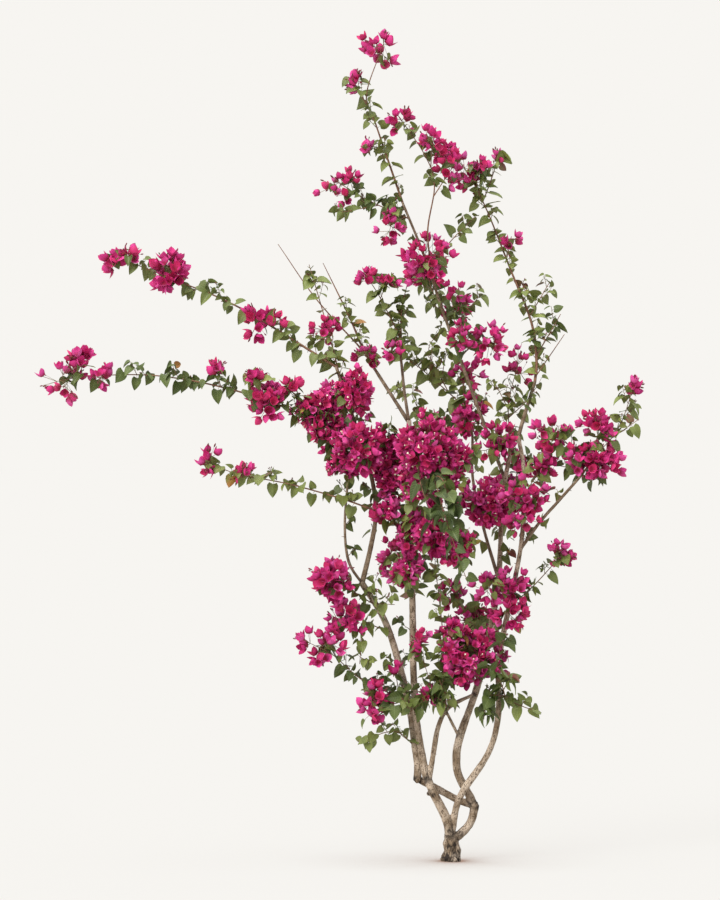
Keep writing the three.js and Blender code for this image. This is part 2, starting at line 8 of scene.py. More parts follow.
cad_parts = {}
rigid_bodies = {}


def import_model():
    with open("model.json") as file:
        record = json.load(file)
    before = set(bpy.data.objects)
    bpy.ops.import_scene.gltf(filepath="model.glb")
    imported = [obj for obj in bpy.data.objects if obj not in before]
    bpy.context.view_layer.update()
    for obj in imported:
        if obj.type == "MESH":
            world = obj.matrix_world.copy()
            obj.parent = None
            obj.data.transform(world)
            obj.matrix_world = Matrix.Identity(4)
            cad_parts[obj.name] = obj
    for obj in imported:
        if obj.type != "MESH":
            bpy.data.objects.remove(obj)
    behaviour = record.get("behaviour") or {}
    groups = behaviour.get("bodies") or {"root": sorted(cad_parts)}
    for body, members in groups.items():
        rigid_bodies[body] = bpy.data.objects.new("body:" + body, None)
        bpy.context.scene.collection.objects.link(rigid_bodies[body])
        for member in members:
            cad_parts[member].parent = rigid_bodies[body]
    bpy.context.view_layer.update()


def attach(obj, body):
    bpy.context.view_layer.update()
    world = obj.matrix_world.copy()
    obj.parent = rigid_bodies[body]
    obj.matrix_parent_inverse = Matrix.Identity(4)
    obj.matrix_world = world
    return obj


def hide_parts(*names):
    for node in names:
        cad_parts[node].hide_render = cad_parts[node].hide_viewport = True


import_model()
mm = 0.001


def placed(name, data):
    made = bpy.data.objects.new(name, data)
    bpy.context.scene.collection.objects.link(made)
    return made


# The photograph's view: level, 3 m of height filling the picture at the plant.
cameraPlace = {"away": 14, "aside": -0.3067, "height": 1.37, "lens": 168, "farthest": 600}


def setCamera():
    body = bpy.data.cameras.new("viewCamera")
    body.lens = cameraPlace["lens"]
    body.clip_end = cameraPlace["farthest"]
    camera = placed("viewCamera", body)
    camera.location = (cameraPlace["aside"], -cameraPlace["away"], cameraPlace["height"])
    camera.rotation_euler = (math.pi / 2, 0, 0)
    bpy.context.scene.camera = camera


setCamera()


# Colours are given as they look on a screen.
def tone(red, green, blue):
    def straight(value):
        value /= 255
        return value / 12.92 if value <= 0.04045 else ((value + 0.055) / 1.055) ** 2.4
    return (straight(red), straight(green), straight(blue), 1)


# Links a socket to an input, or sets the input's own value.
def fill(tree, target, value):
    if isinstance(value, bpy.types.NodeSocket):
        tree.links.new(value, target)
    else:
        target.default_value = value


# Capitalised values are the node's inputs, with _ for a space, and the others are its settings.
def addNode(tree, kind, **values):
    node = tree.nodes.new(kind)
    for label, value in values.items():
        if label[0].islower():
            setattr(node, label, value)
        else:
            fill(tree, node.inputs[label.replace("_", " ")], value)
    return node


def mixTones(tree, factor, first, second):
    mix = addNode(tree, "ShaderNodeMix", data_type="RGBA", Factor=factor)
    for label, value in (("A", first), ("B", second)):
        fill(tree, [s for s in mix.inputs if s.name == label and s.type == "RGBA"][0], value)
    return [s for s in mix.outputs if s.type == "RGBA"][0]


def stretched(tree, value, low, high):
    ramp = addNode(tree, "ShaderNodeMapRange", interpolation_type="SMOOTHSTEP", Value=value)
    ramp.inputs["From Min"].default_value = low
    ramp.inputs["From Max"].default_value = high
    return ramp.outputs["Result"]


# An off-white floor and backdrop, an even pale sky that lights less than it shows, and two broad soft lamps,
# one from the upper left and one overhead. Round the foot the floor's glow is dimmed into a painted contact
# shadow.
studio = {
    "backdrop": tone(247, 245, 241),
    "sky": tone(240, 243, 250),
    "skyPower": 0.88,
    "floorBounce": tone(180, 175, 166),
    "floorGlow": (0.84, 0.82, 0.8),  # the share of the floor's look that no shadow dims
    # The painted contact shadow: its tone, how far from the plant it reaches, and how closed in the floor is
    # where it is full.
    "paintedShadowTone": tone(180, 148, 130),  # what the glow is dimmed to right beside the foot
    "paintedShadowReach": 0.5,
    "paintedShadowDepth": 0.68,
    "floorSize": 500,
    "lampTone": tone(255, 250, 240)[:3],
    "lamps": [[(-0.8, -0.95, 0.9), 2.05, 32], [(-0.05, -0.1, 1.0), 1.6, 30]],  # [place, strength, spread]
}


# The paint and the glow that make the floor look like the backdrop where the light is full.
def floorSeen():
    level = sum(Vector(place).normalized().z * power / math.pi for place, power, _ in studio["lamps"])
    lit = [level * lamp + studio["skyPower"] * sky for lamp, sky in zip(studio["lampTone"], studio["sky"])]
    glow = [wanted * share for wanted, share in zip(studio["backdrop"], studio["floorGlow"])]
    paint = [(wanted - own) / light for wanted, own, light in zip(studio["backdrop"], glow, lit)]
    return (*paint, 1), (*glow, 1)


# Two shaders, the second one for what the eye sees straight.
def seenAs(tree, first, second):
    path = tree.nodes.new("ShaderNodeLightPath")
    mix = addNode(tree, "ShaderNodeMixShader", Fac=path.outputs["Is Camera Ray"])
    fill(tree, mix.inputs[1], first.outputs[0])
    fill(tree, mix.inputs[2], second.outputs[0])
    return mix.outputs["Shader"]


def setSky():
    world = bpy.data.worlds.new("paleSky")
    world.use_nodes = True
    tree = world.node_tree
    sky = tree.nodes["Background"]
    sky.inputs["Color"].default_value = studio["sky"]
    sky.inputs["Strength"].default_value = studio["skyPower"]
    backdrop = addNode(tree, "ShaderNodeBackground", Color=studio["backdrop"])
    fill(tree, tree.nodes["World Output"].inputs["Surface"], seenAs(tree, sky, backdrop))
    bpy.context.scene.world = world


def setLamp(place, power, spread):
    lamp = bpy.data.lights.new("softLamp", "SUN")
    lamp.energy = power
    lamp.color = studio["lampTone"]
    lamp.angle = math.radians(spread)
    lampObject = placed("softLamp", lamp)
    lampObject.rotation_mode = "QUATERNION"
    lampObject.rotation_quaternion = Vector(place).to_track_quat("Z", "Y")


def floorPaint():
    paint = bpy.data.materials.new("floorPaint")
    paint.use_nodes = True
    tree = paint.node_tree
    seenPaint, fullGlow = floorSeen()
    # Painted contact shadow: ambient occlusion dims the floor's glow toward the shadow tone where the plant
    # is near.
    paintedShadowGlow = tuple(a * b for a, b in zip(fullGlow, studio["paintedShadowTone"]))
    nearFoot = addNode(tree, "ShaderNodeAmbientOcclusion", Distance=studio["paintedShadowReach"])
    openness = stretched(tree, nearFoot.outputs["AO"], studio["paintedShadowDepth"], 1)
    bounce = addNode(tree, "ShaderNodeBsdfDiffuse", Color=studio["floorBounce"])
    seen = addNode(tree, "ShaderNodeBsdfDiffuse", Color=seenPaint)
    glow = addNode(tree, "ShaderNodeEmission", Color=mixTones(tree, openness, paintedShadowGlow, fullGlow))
    both = tree.nodes.new("ShaderNodeAddShader")
    fill(tree, both.inputs[0], seen.outputs["BSDF"])
    fill(tree, both.inputs[1], glow.outputs["Emission"])
    fill(tree, tree.nodes["Material Output"].inputs["Surface"], seenAs(tree, bounce, both))
    return paint


def layFloor():
    half = studio["floorSize"] / 2
    corners = [(-half, -half, 0), (half, -half, 0), (half, half, 0), (-half, half, 0)]
    mesh = bpy.data.meshes.new("floor")
    mesh.from_pydata(corners, [], [(0, 1, 2, 3)])
    mesh.materials.append(floorPaint())
    placed("floor", mesh)


bpy.context.scene.view_settings.view_transform = "Standard"
setSky()
for lampRow in studio["lamps"]:
    setLamp(*lampRow)
layFloor()
print("camera, lights and floor are set")


firstSeed = 20
trunk = {"height": 97, "lean": -5}
# The trunk's profile, [height, radius].
trunkProfile = [[0, 34], [14, 32], [40, 27], [66, 24], [87, 21], [97, 14]]

# Each limb is [radius at its foot, radius at its tip, the places it runs through], in millimetres.
limbs = {
    "stem_left": [17.5, 13, [[-4, -4, 80], [-20, -8, 143], [-67, -20, 238], [-82, -20, 277]]],
    "stem_right_foot": [15.5, 14.5, [[5, 4, 75], [43, 10, 102], [66, 15, 137], [77, 18, 187]]],
    "stem_middle": [12, 6.5, [
        [0, -6, 88], [12, -12, 172], [38, -16, 237], [122, -2, 363], [155, 6, 490], [160, 0, 690],
        [228, -50, 1053], [238, -40, 1290], [220, -8, 1418]
    ]],
    "stem_cross": [12.5, 12.5, [
        [74, 20, 184], [42, 32, 193], [10, 36, 206], [-65, 30, 247], [-117, 12, 274]
    ]],
    "stem_far_left": [14, 10, [
        [-117, 12, 266], [-113, 11, 317], [-122, 10, 383], [-147, 4, 537], [-215, -20, 780],
        [-303, -50, 933]
    ]],
    "stem_right_inner": [14, 7, [
        [77, 18, 180], [57, 24, 219], [23, 20, 283], [15, 14, 340], [27, 10, 415], [93, 16, 612],
        [153, 60, 903], [167, 66, 1133], [179, 50, 1273], [207, 14, 1405]
    ]],
    "stem_centre": [12.5, 9, [
        [-84, -20, 270], [-97, -16, 337], [-118, -22, 470], [-129, -26, 640], [-133, -20, 933],
        [-143, 40, 1470]
    ]],
    "stem_mid": [10, 6, [
        [-79, -22, 268], [-64, -26, 350], [-48, -24, 443], [-23, -20, 500], [10, -16, 527], [73, 4, 555]
    ]],
    "brace": [5.5, 5, [[26, 10, 408], [8, -2, 444], [-17, -17, 494]]],
    "cane_right": [7, 5.2, [[220, -8, 1410], [237, -4, 1471], [277, 12, 1598]]],
    "cane_tall": [6.5, 4.2, [
        [179, 50, 1270], [117, 65, 1435], [-18, 30, 1800], [-90, 0, 2010], [-165, 0, 2195]
    ]],
    "bough_diagonal": [7, 5, [[-143, 40, 1462], [-186, 75, 1530], [-262, 130, 1650]]],
    "bough_vertical": [5.5, 4.2, [[-143, 40, 1462], [-158, 30, 1563], [-170, 20, 1675]]],
    "bough_left_inner": [9, 4.5, [
        [-300, -49, 926], [-270, -60, 1053], [-255, -70, 1160], [-270, -75, 1287], [-327, -60, 1470],
        [-387, -30, 1647]
    ]],
    "bough_left_thin": [5, 4, [[-296, -48, 921], [-344, -62, 1000], [-357, -90, 1120], [-347, -110, 1270]]],
    "bough_right": [6, 4.2, [[226, -49, 1040], [288, -75, 1129], [357, -110, 1209], [426, -150, 1289]]],
    "bough_inner": [6, 4.4, [[156, 62, 940], [108, 110, 1110], [73, 130, 1273], [72, 138, 1420]]],
    "bough_front": [7, 5, [[-139, 8, 1190], [-112, -110, 1262], [-84, -230, 1320]]],
    "bough_back": [7, 5, [[-141, 20, 1300], [-120, 150, 1390], [-96, 290, 1440]]],
}

# A mass is a few sprays, each [where it grows from, share of that line's length, places, heads, tint]. It
# grows from a limb by name, or from an earlier spray of the mass by number. A head is [share of the spray,
# radius of the truss]. Where no tint is given, one is drawn.
masses = {
    "tall_top": [
        ["cane_tall", 1, [[-252, -5, 2449], [-285, -5, 2553], [-228, -10, 2724]], [[1, 60]]],
        [0, 0.6, [[-334, 20, 2612]], [[1, 30]]],
        [0, 0.34, [[-284, -40, 2382]], [[1, 24]]],
    ],
    "mid_top": [
        ["cane_tall", 0.7, [
            [-82, -50, 2089], [-60, -70, 2247], [-92, -75, 2348], [-183, -60, 2484]
        ], [[1, 44]]],
        [0, 0.66, [[-67, -120, 2392]], [[1, 48]]],
        [0, 0.5, [[2, -100, 2310]], [[1, 44]]],
        [0, 0.12, [[10, 10, 2082], [80, 40, 2150]], []],
    ],
    "right_top": [
        ["cane_right", 1, [
            [283, 30, 1670], [267, 60, 1797], [202, 95, 1967], [113, 110, 2190], [40, 90, 2320],
            [-28, 60, 2375]
        ], [[0.88, 44], [1, 44]]],
        [0, 0.74, [[135, 130, 2280], [164, 140, 2372]], [[1, 22]]],
        [0, 0.8, [[95, 60, 2326]], [[1, 34]]],
        [0, 0.5, [[200, 60, 2085]], [[1, 30]]],
        [0, 0.26, [[328, 110, 1930]], []],
        [0, 0.1, [[362, 0, 1823]], []],
        [0, 0.02, [[378, 70, 1757]], []],
    ],
    "upper_left": [
        ["cane_tall", 0.94, [[-294, 40, 2212], [-392, 60, 2275]], [[1, 50]]],
        [0, 0.4, [[-366, -10, 2162]], []],
        [0, 0.05, [[-222, -60, 2118]], [[1, 50]]],
    ],
    "head_upper": [
        ["cane_tall", 0.79, [[-88, -62, 2005]], [[1, 84]]],
    ],
    "upright": [
        ["bough_vertical", 1, [[-170, 16, 1770], [-167, 30, 1843], [-146, 50, 1935]], []],
        [0, 0.25, [[-243, -10, 1883], [-293, -10, 1960]], [[1, 34]]],
        [1, 0.6, [[-214, -50, 1936]], [[1, 28]]],
        [0, 0.06, [[-204, -40, 1702]], [[1, 30]]],
    ],
    "inner_top": [
        ["bough_inner", 1, [[48, 140, 1500], [43, 130, 1603], [62, 120, 1645]], [[1, 44]]],
        [0, 0.42, [[-70, 130, 1617], [-140, 120, 1672]], [], 1],
        [1, 0.45, [[-16, 120, 1702]], [], 3],
        [0, 0.3, [[85, 80, 1520]], [[1, 38]]],
        [0, 0.05, [[42, 90, 1465]], [[1, 40]]],
    ],
    "tall_right": [
        ["cane_tall", 0.44, [[68, 0, 1716], [140, -20, 1748]], [[1, 56]]],
        [0, 0.4, [[14, -50, 1748]], [[1, 38]]],
        [0, 0.15, [[30, 60, 1800], [88, 70, 1880]], []],
        [2, 0.3, [[22, 0, 1905]], [[1, 40]]],
    ],
    "junction": [
        ["stem_right_inner", 0.97, [[190, 60, 1520], [217, 50, 1640]], [[1, 56]]],
        [0, 0.1, [[160, -40, 1400]], [[1, 56]]],
        [1, 0.4, [[108, -50, 1368]], [[1, 28]]],
    ],
    "spray_left_upper": [
        ["bough_left_inner", 1, [
            [-705, 20, 1843], [-923, 60, 1938], [-1145, 90, 2026]
        ], [[1, 46], [0.36, 58]]],
        [0, 0.7, [[-948, 40, 1982]], [[1, 70]]],
        [0, 0.88, [[-1078, 70, 2032]], [[1, 30]]],
    ],
    "left_upper_shoot": [
        ["bough_left_inner", 0.92, [[-418, 20, 1787], [-477, 40, 1990]], [[0.5, 50]]],
    ],
    "spray_left_middle": [
        ["bough_left_inner", 0.62, [
            [-492, -150, 1484], [-712, -210, 1564], [-961, -260, 1612], [-1180, -285, 1612],
            [-1286, -290, 1596]
        ], [[1, 50], [0.88, 36], [0.36, 68]]],
        [0, 0.93, [[-1222, -290, 1680]], [[1, 48]]],
        [0, 0.5, [[-780, -230, 1645]], [[1, 28]]],
    ],
    "spray_left_lower": [
        ["stem_centre", 0.67, [
            [-262, -112, 1170], [-511, -122, 1250], [-707, -112, 1290], [-818, -104, 1330]
        ], [[1, 42], [0.86, 34], [0.24, 28]]],
    ],
    "head_left_large": [
        ["bough_left_inner", 0.76, [[-322, -100, 1577]], [[1, 84]]],
        [0, 0.3, [[-448, -100, 1503]], [[1, 88]]],
        [1, 0.5, [[-398, -130, 1420]], [[1, 46]]],
    ],
    "whips": [
        ["bough_diagonal", 1, [[-298, 160, 1714], [-343, 190, 1820], [-432, 220, 2003]], []],
        [0, 0.15, [[-453, 175, 1878], [-584, 200, 2066]], []],
        [0, 0.04, [[-286, 90, 1690]], [[1, 34]]],
    ],
    "head_left_low": [
        ["bough_left_thin", 1, [[-313, -170, 1390]], [[1, 84]]],
        [0, 0.3, [[-360, -140, 1300]], [[1, 36]]],
    ],
    "head_centre_left": [
        ["stem_centre", 0.82, [[-205, -90, 1322]], [[1, 96]]],
    ],
    "head_centre_front": [
        ["bough_front", 1, [[-80, -250, 1382]], [[1, 105]]],
        [0, 0.3, [[30, -180, 1350]], [[1, 64]]],
    ],
    # Tint 4 is the darker leaf copy that paints shade on these open-hanging leaves.
    "front_hanging": [
        ["bough_front", 0.8, [[-62, -330, 1262], [-30, -400, 1150], [22, -430, 990]], [], 4],
    ],
    "head_under_left": [
        ["stem_centre", 0.64, [[-128, -100, 1105]], [[1, 62]]],
        [0, 0.3, [[-152, -110, 962]], [[1, 56]]],
    ],
    "head_under_right": [
        ["stem_centre", 0.7, [[-56, -150, 1090]], [[1, 86]]],
        [0, 0.8, [[46, -140, 1056]], [[1, 66]]],
    ],
    "head_right_mid": [
        ["stem_right_inner", 0.79, [[108, -60, 1204]], [[1, 92]]],
    ],
    "right_mid": [
        ["stem_middle", 0.86, [[246, -120, 1204]], [[1, 66]]],
        [0, 0.2, [[310, -70, 1336]], [[1, 40]]],
        [0, 0.7, [[210, -130, 1110]], [[1, 40]]],
    ],
    "right_spray": [
        ["bough_right", 1, [[467, -160, 1353]], [[1, 92]], 2],
        [0, 0.9, [[545, -150, 1440], [600, -140, 1590]], [[1, 30]]],
        [1, 0.3, [[612, -170, 1472]], []],
        [0, 0.5, [[345, -140, 1424]], [[1, 34]], 2],
        [0, 0.7, [[490, -140, 1468]], [[1, 56]], 0],
    ],
    "low_right": [
        ["stem_middle", 0.58, [[267, -60, 917], [370, -60, 1030]], [[1, 42]]],
        [0, 0.12, [[178, -100, 945]], [[1, 52]]],
        [0, 0.06, [[184, -100, 830]], [[1, 74]]],
    ],
    "head_low": [
        ["stem_right_inner", 0.42, [[50, -70, 705]], [[1, 112]]],
    ],
    "low_right_leaves": [
        ["stem_middle", 0.36, [[172, -80, 560], [150, -110, 640], [158, -110, 735]], []],
        [0, 0.12, [[230, -60, 520], [296, -50, 498]], []],
        [0, 0.3, [[120, -110, 560]], []],
    ],
    "low_centre": [
        ["stem_mid", 0.7, [[-30, -60, 600], [-32, -60, 760], [-58, -50, 995]], []],
        [0, 0.06, [[-90, -90, 560]], [[1, 26]]],
        [0, 0.12, [[-40, -120, 545]], []],
        [1, 0.5, [[-120, -110, 742]], [[1, 38]]],
    ],
    "low_left_high": [
        ["stem_far_left", 0.86, [[-338, -90, 905], [-413, -110, 952]], [[1, 78]]],
        [0, 0.1, [[-232, -90, 860]], []],
    ],
    "low_left_mid": [
        ["stem_far_left", 0.72, [[-287, -60, 800], [-348, -90, 845]], [[1, 60]]],
        [0, 0.6, [[-308, -70, 660]], []],
    ],
    "low_left_low": [
        ["stem_far_left", 0.38, [
            [-225, -50, 570], [-313, -70, 617], [-395, -90, 690], [-455, -100, 722]
        ], [[1, 66]]],
        [0, 0.3, [[-266, -110, 548]], [[1, 64]]],
        [0, 0.1, [[-190, -70, 640]], [[1, 24]]],
    ],
    "lowest_left": [
        ["stem_far_left", 0.16, [[-175, -20, 428], [-225, -30, 430], [-282, -40, 405]], []],
    ],
    "back_high": [
        ["cane_tall", 0.6, [[-60, 150, 1900], [-90, 240, 2000]], [[1, 70]]],
        [0, 0.4, [[20, 220, 1840]], [[1, 40]]],
    ],
    "back_centre": [
        ["bough_back", 1, [[-60, 400, 1450], [-20, 520, 1400]], [[0.6, 60], [1, 60]]],
        [0, 0.2, [[-130, 360, 1560]], []],
        [0, 0.3, [[60, 380, 1480]], [[1, 56]]],
    ],
    "back_left": [
        ["bough_left_inner", 0.7, [[-340, 100, 1480], [-372, 250, 1545]], [[1, 78]]],
        [0, 0.5, [[-400, 180, 1400]], [[1, 50]]],
    ],
    "back_right": [
        ["stem_right_inner", 0.72, [[190, 200, 1180], [180, 340, 1225]], [[1, 80]]],
        [0, 0.5, [[240, 270, 1330]], [[1, 44]]],
    ],
    "back_low": [
        ["stem_right_inner", 0.5, [[110, 120, 760], [80, 250, 800]], [[1, 76]]],
        [0, 0.6, [[0, 230, 900]], [[1, 44]]],
    ],
    "back_left_low": [
        ["stem_centre", 0.5, [[-160, 110, 960], [-200, 230, 1010]], [[1, 66]]],
        [0, 0.5, [[-110, 200, 1090]], [[1, 44]]],
    ],
}

# Finer twigs that the masses carry within their reach, written as their sprays are.
finerTwigs = {
    "inner_top": [
        [1, 0.8, [[-165, 110, 1730], [-178, 100, 1800]], [], 1],
        [1, 0.3, [[-75, 110, 1700], [-40, 110, 1765]], [], 3],
        [2, 0.5, [[-50, 90, 1650], [-90, 70, 1700]], [], 1],
    ],
    "junction": [
        [0, 0.5, [[170, 40, 1545], [140, 30, 1600]], []],
        [0, 0.4, [[255, 20, 1540], [280, 10, 1590]], []],
    ],
    "spray_left_middle": [
        [0, 0.15, [[-547, -165, 1578]], [[1, 42]]],
        [0, 0.28, [[-660, -200, 1618]], [[1, 30]]],
    ],
    "head_centre_left": [
        [0, 0.6, [[-232, -110, 1250]], [[1, 56]]],
        [0, 0.8, [[-212, -130, 1428]], [[1, 50]]],
    ],
    "head_centre_front": [
        [0, 0.7, [[-130, -180, 1215]], [[1, 50]]],
        [1, 0.5, [[8, -190, 1258]], [[1, 46]]],
        [0, 0.7, [[-72, -200, 1205]], [[1, 42]]],
    ],
    "head_under_left": [
        [0, 0.7, [[-128, -120, 1150]], [[1, 48]]],
        [0, 0.8, [[-214, -110, 1192]], [[1, 44]]],
    ],
    "front_hanging": [
        # The first twig's tint 4 is the darker leaf copy that paints shade.
        [0, 0.02, [[-112, -330, 1275], [-88, -360, 1190], [-62, -370, 1112]], [], 4],
        [0, 0.06, [[-40, -350, 1275], [-24, -375, 1200], [-12, -385, 1125]], [], 2],
        [0, 0.9, [[44, -425, 935]], [], 2],
    ],
    "head_left_large": [
        [1, 0.8, [[-478, -150, 1508]], [[1, 50]], 2],
        [1, 0.6, [[-462, -160, 1432]], [[1, 34]], 2],
    ],
    "head_left_low": [
        [1, 0.6, [[-398, -130, 1334]], [[1, 36]]],
    ],
    "right_spray": [
        [3, 0.5, [[292, -110, 1384]], [[1, 44]]],
        [3, 0.6, [[300, -150, 1448]], [[1, 38]]],
        [0, 0.2, [[352, -80, 1318]], [], 2],
        [0, 0.6, [[430, -90, 1262]], [], 2],
        [0, 0.5, [[388, -180, 1352]], [[1, 44]], 2],
    ],
    "low_right": [
        [1, 0.6, [[118, -110, 925]], [[1, 46]]],
    ],
    "head_low": [
        [0, 0.6, [[8, -90, 612]], [[1, 46]]],
        [0, 0.7, [[-14, -120, 786]], [[1, 48]]],
        [0, 0.6, [[-20, -120, 700]], [[1, 48]]],
    ],
    "low_left_high": [
        [1, 0.4, [[-192, -90, 858]], []],
    ],
    "low_left_mid": [
        [0, 0.7, [[-396, -90, 792]], [[1, 40]]],
    ],
    "low_right_leaves": [
        [0, 0.2, [[112, -120, 530], [102, -130, 480]], [], 2],
        [0, 0.4, [[185, -120, 610]], [], 0],
        [0, 0.5, [[112, -130, 640]], [], 2],
    ],
    "low_left_low": [
        [1, 0.7, [[-268, -112, 500]], [[1, 40]]],
    ],
    "low_centre": [
        [1, 0.5, [[-150, -100, 540], [-200, -110, 530]], [], 2],
        [1, 0.8, [[-142, -130, 505]], [], 0],
        [0, 0.08, [[-24, -120, 560], [-44, -130, 610]], [], 2],
        [0, 0.1, [[-60, -110, 560], [-20, -130, 530]], []],
    ],
}

# Where a spray shows no leaves, as shares of its length, and the sprays that never have any.
openParts = {
    ("mid_top", 0): (0, 0.5), ("tall_top", 0): (0.55, 1), ("whips", 0): (0.6, 1),
    ("front_hanging", 1): (0, 0.25), ("front_hanging", 2): (0, 0.3), ("spray_left_middle", 0): (0, 0.2),
    ("right_top", 3): (0, 1),
}
bareSprays = [("right_top", 6), ("whips", 1)]


# The same seed always gives the same run of numbers from 0 to 1.
def randomFrom(seed):
    state = seed

    def draw():
        nonlocal state
        state = (state * 1664525 + 1013904223) & 0xFFFFFFFF
        return state / 2 ** 32
    return draw


def skipped(random, times):
    for _ in range(times):
        random()
    return random


# A second run of numbers for what the source leaves open.
def drawsFrom(seed):
    return skipped(randomFrom(seed * 7919), 4)


# A random way, with what is taken off along X, Y and Z.
def randomWay(draw, off=(0.5, 0.5, 0.5)):
    return np.array([draw() - v for v in off])


def unit(vector):
    return vector / max(np.linalg.norm(vector), 1e-9)


upright = np.array([0.0, 0.0, 1.0])
fullTurn = 2 * math.pi
leafTurn = 2.4  # how far each leaf, bloom or thorn stands round from the last


# A turn drawn from all round.
def anyTurn(draw):
    return draw() * 6.3


def between(a, b, angle):
    return a * math.cos(angle) + b * math.sin(angle)


# Two directions square to a heading.
def squareTo(heading):
    side = unit(np.cross(heading, upright + 0.01))
    return side, np.cross(side, heading)


# Evenly spaced points on a smooth line through the places, all in metres.
def smoothLine(places, step=5 * mm):
    places = [np.array(p, float) for p in places]
    around = [2 * places[0] - places[1], *places, 2 * places[-1] - places[-2]]
    t = np.linspace(0, 1, 40, endpoint=False)[:, None]
    bits = []
    for a, b, c, d in zip(around, around[1:], around[2:], around[3:]):
        leave, arrive = (c - a) / 2, (d - b) / 2
        bend = 3 * (c - b) - 2 * leave - arrive
        ease = 2 * (b - c) + leave + arrive
        bits.append(b + t * leave + t ** 2 * bend + t ** 3 * ease)
    fine = np.vstack([*bits, places[-1][None]])
    reach = np.concatenate([[0], np.cumsum(np.linalg.norm(np.diff(fine, axis=0), axis=1))])
    even = np.linspace(0, reach[-1], max(2, round(reach[-1] / step) + 1))
    return np.stack([np.interp(even, reach, fine[:, k]) for k in range(3)], axis=1)


def lengthOf(line):
    return float(np.linalg.norm(np.diff(line, axis=0), axis=1).sum())


def pointOn(line, share):
    reach = min(max(share, 0), 1) * (len(line) - 1)
    start = min(int(reach), len(line) - 2)
    return line[start] + (line[start + 1] - line[start]) * (reach - start)


def directionOn(line, share):
    return unit(pointOn(line, share + 0.02) - pointOn(line, share - 0.02))


# Two directions square to the line at each of its points, that do not twist along it.
def ringsAlong(line):
    side = np.array([1, 0.1, 0.05])
    rings = []
    for i in range(len(line)):
        along = unit(line[min(i + 1, len(line) - 1)] - line[max(i - 1, 0)])
        side = unit(side - along * side.dot(along))
        rings.append((side, np.cross(side, along)))
    return rings


trunkPlaces = [[0, 0, 0], [0, 0, 20], [trunk["lean"], 0, trunk["height"]]]
limbLines = {"trunk": smoothLine(np.array(trunkPlaces) * mm)}
for name, (_, _, places) in limbs.items():
    limbLines[name] = smoothLine(np.array(places) * mm)
limbLengths = {name: lengthOf(line) for name, line in limbLines.items()}


def limbRadii(name):
    line = limbLines[name]
    if name == "trunk":
        heights, widths = zip(*trunkProfile)
        return np.interp(line[:, 2] / mm, heights, widths) * mm
    foot, tip, _ = limbs[name]
    return np.linspace(foot, tip, len(line)) * mm


def searchTree(places):
    tree = kdtree.KDTree(len(places))
    for i, place in enumerate(places):
        tree.insert(place, i)
    tree.balance()
    return tree


# Every limb's middle line in one search tree, to tell how far a place is from the wood.
woodTree = searchTree(np.vstack(list(limbLines.values())))
woodRadii = np.concatenate([limbRadii(name) for name in limbLines])


def isOffTheWood(place, room):
    _, index, distance = woodTree.find(place)
    return distance > woodRadii[index] + room


# A node tree with a geometry input, a named input of each given kind, and a geometry output.
def newTree(name, **kinds):
    tree = bpy.data.node_groups.new(name, "GeometryNodeTree")
    tree.interface.new_socket("Geometry", in_out="INPUT", socket_type="NodeSocketGeometry")
    for label, kind in kinds.items():
        tree.interface.new_socket(label, in_out="INPUT", socket_type=kind)
    tree.interface.new_socket("Geometry", in_out="OUTPUT", socket_type="NodeSocketGeometry")
    return tree, tree.nodes.new("NodeGroupInput").outputs


def namedValue(tree, label, kind):
    node = addNode(tree, "GeometryNodeInputNamedAttribute", data_type=kind, Name=label)
    return node.outputs["Attribute"]


# Ends a tree with its instances made real and its material set.
def finishTree(tree, shape, finish):
    realize = addNode(tree, "GeometryNodeRealizeInstances", Geometry=shape)
    paint = addNode(tree, "GeometryNodeSetMaterial", Geometry=realize.outputs["Geometry"], Material=finish)
    addNode(tree, "NodeGroupOutput", Geometry=paint.outputs["Geometry"])
    return tree


# Tubes of the given thickness along every path.
def tubeTree():
    tree, start = newTree("tubesAlongPaths", Sides="NodeSocketInt", Finish="NodeSocketMaterial")
    path = addNode(tree, "GeometryNodeMeshToCurve", Mesh=start["Geometry"])
    ring = addNode(tree, "GeometryNodeCurvePrimitiveCircle", Resolution=start["Sides"], Radius=1)
    sweep = addNode(
        tree, "GeometryNodeCurveToMesh", Curve=path.outputs["Curve"], Profile_Curve=ring.outputs["Curve"],
        Scale=namedValue(tree, "thickness", "FLOAT"), Fill_Caps=True)
    smooth = addNode(tree, "GeometryNodeSetShadeSmooth", Geometry=sweep.outputs["Mesh"])
    return finishTree(tree, smooth.outputs["Geometry"], start["Finish"])


# One of the shapes in a collection at every point, turned and sized as the point says.
def scatterTree():
    tree, start = newTree("shapesOnPoints", Shapes="NodeSocketCollection", Finish="NodeSocketMaterial")
    shapes = addNode(
        tree, "GeometryNodeCollectionInfo", Collection=start["Shapes"], Separate_Children=True,
        Reset_Children=True)
    spread = addNode(
        tree, "GeometryNodeInstanceOnPoints", Points=start["Geometry"], Instance=shapes.outputs["Instances"],
        Pick_Instance=True, Instance_Index=namedValue(tree, "kind", "INT"),
        Rotation=namedValue(tree, "turn", "QUATERNION"), Scale=namedValue(tree, "size", "FLOAT"))
    return finishTree(tree, spread.outputs["Instances"], start["Finish"])


alongPaths = tubeTree()
onPoints = scatterTree()


# Runs a tree on a mesh and keeps the result as a plain mesh object of its own.
def grown(name, mesh, tree, settings):
    seedling = placed(name + "Start", mesh)
    modifier = seedling.modifiers.new("grow", "NODES")
    modifier.node_group = tree
    for socket in tree.interface.items_tree:
        if socket.name in settings:
            modifier[socket.identifier] = settings[socket.name]
    return settled(name, seedling)


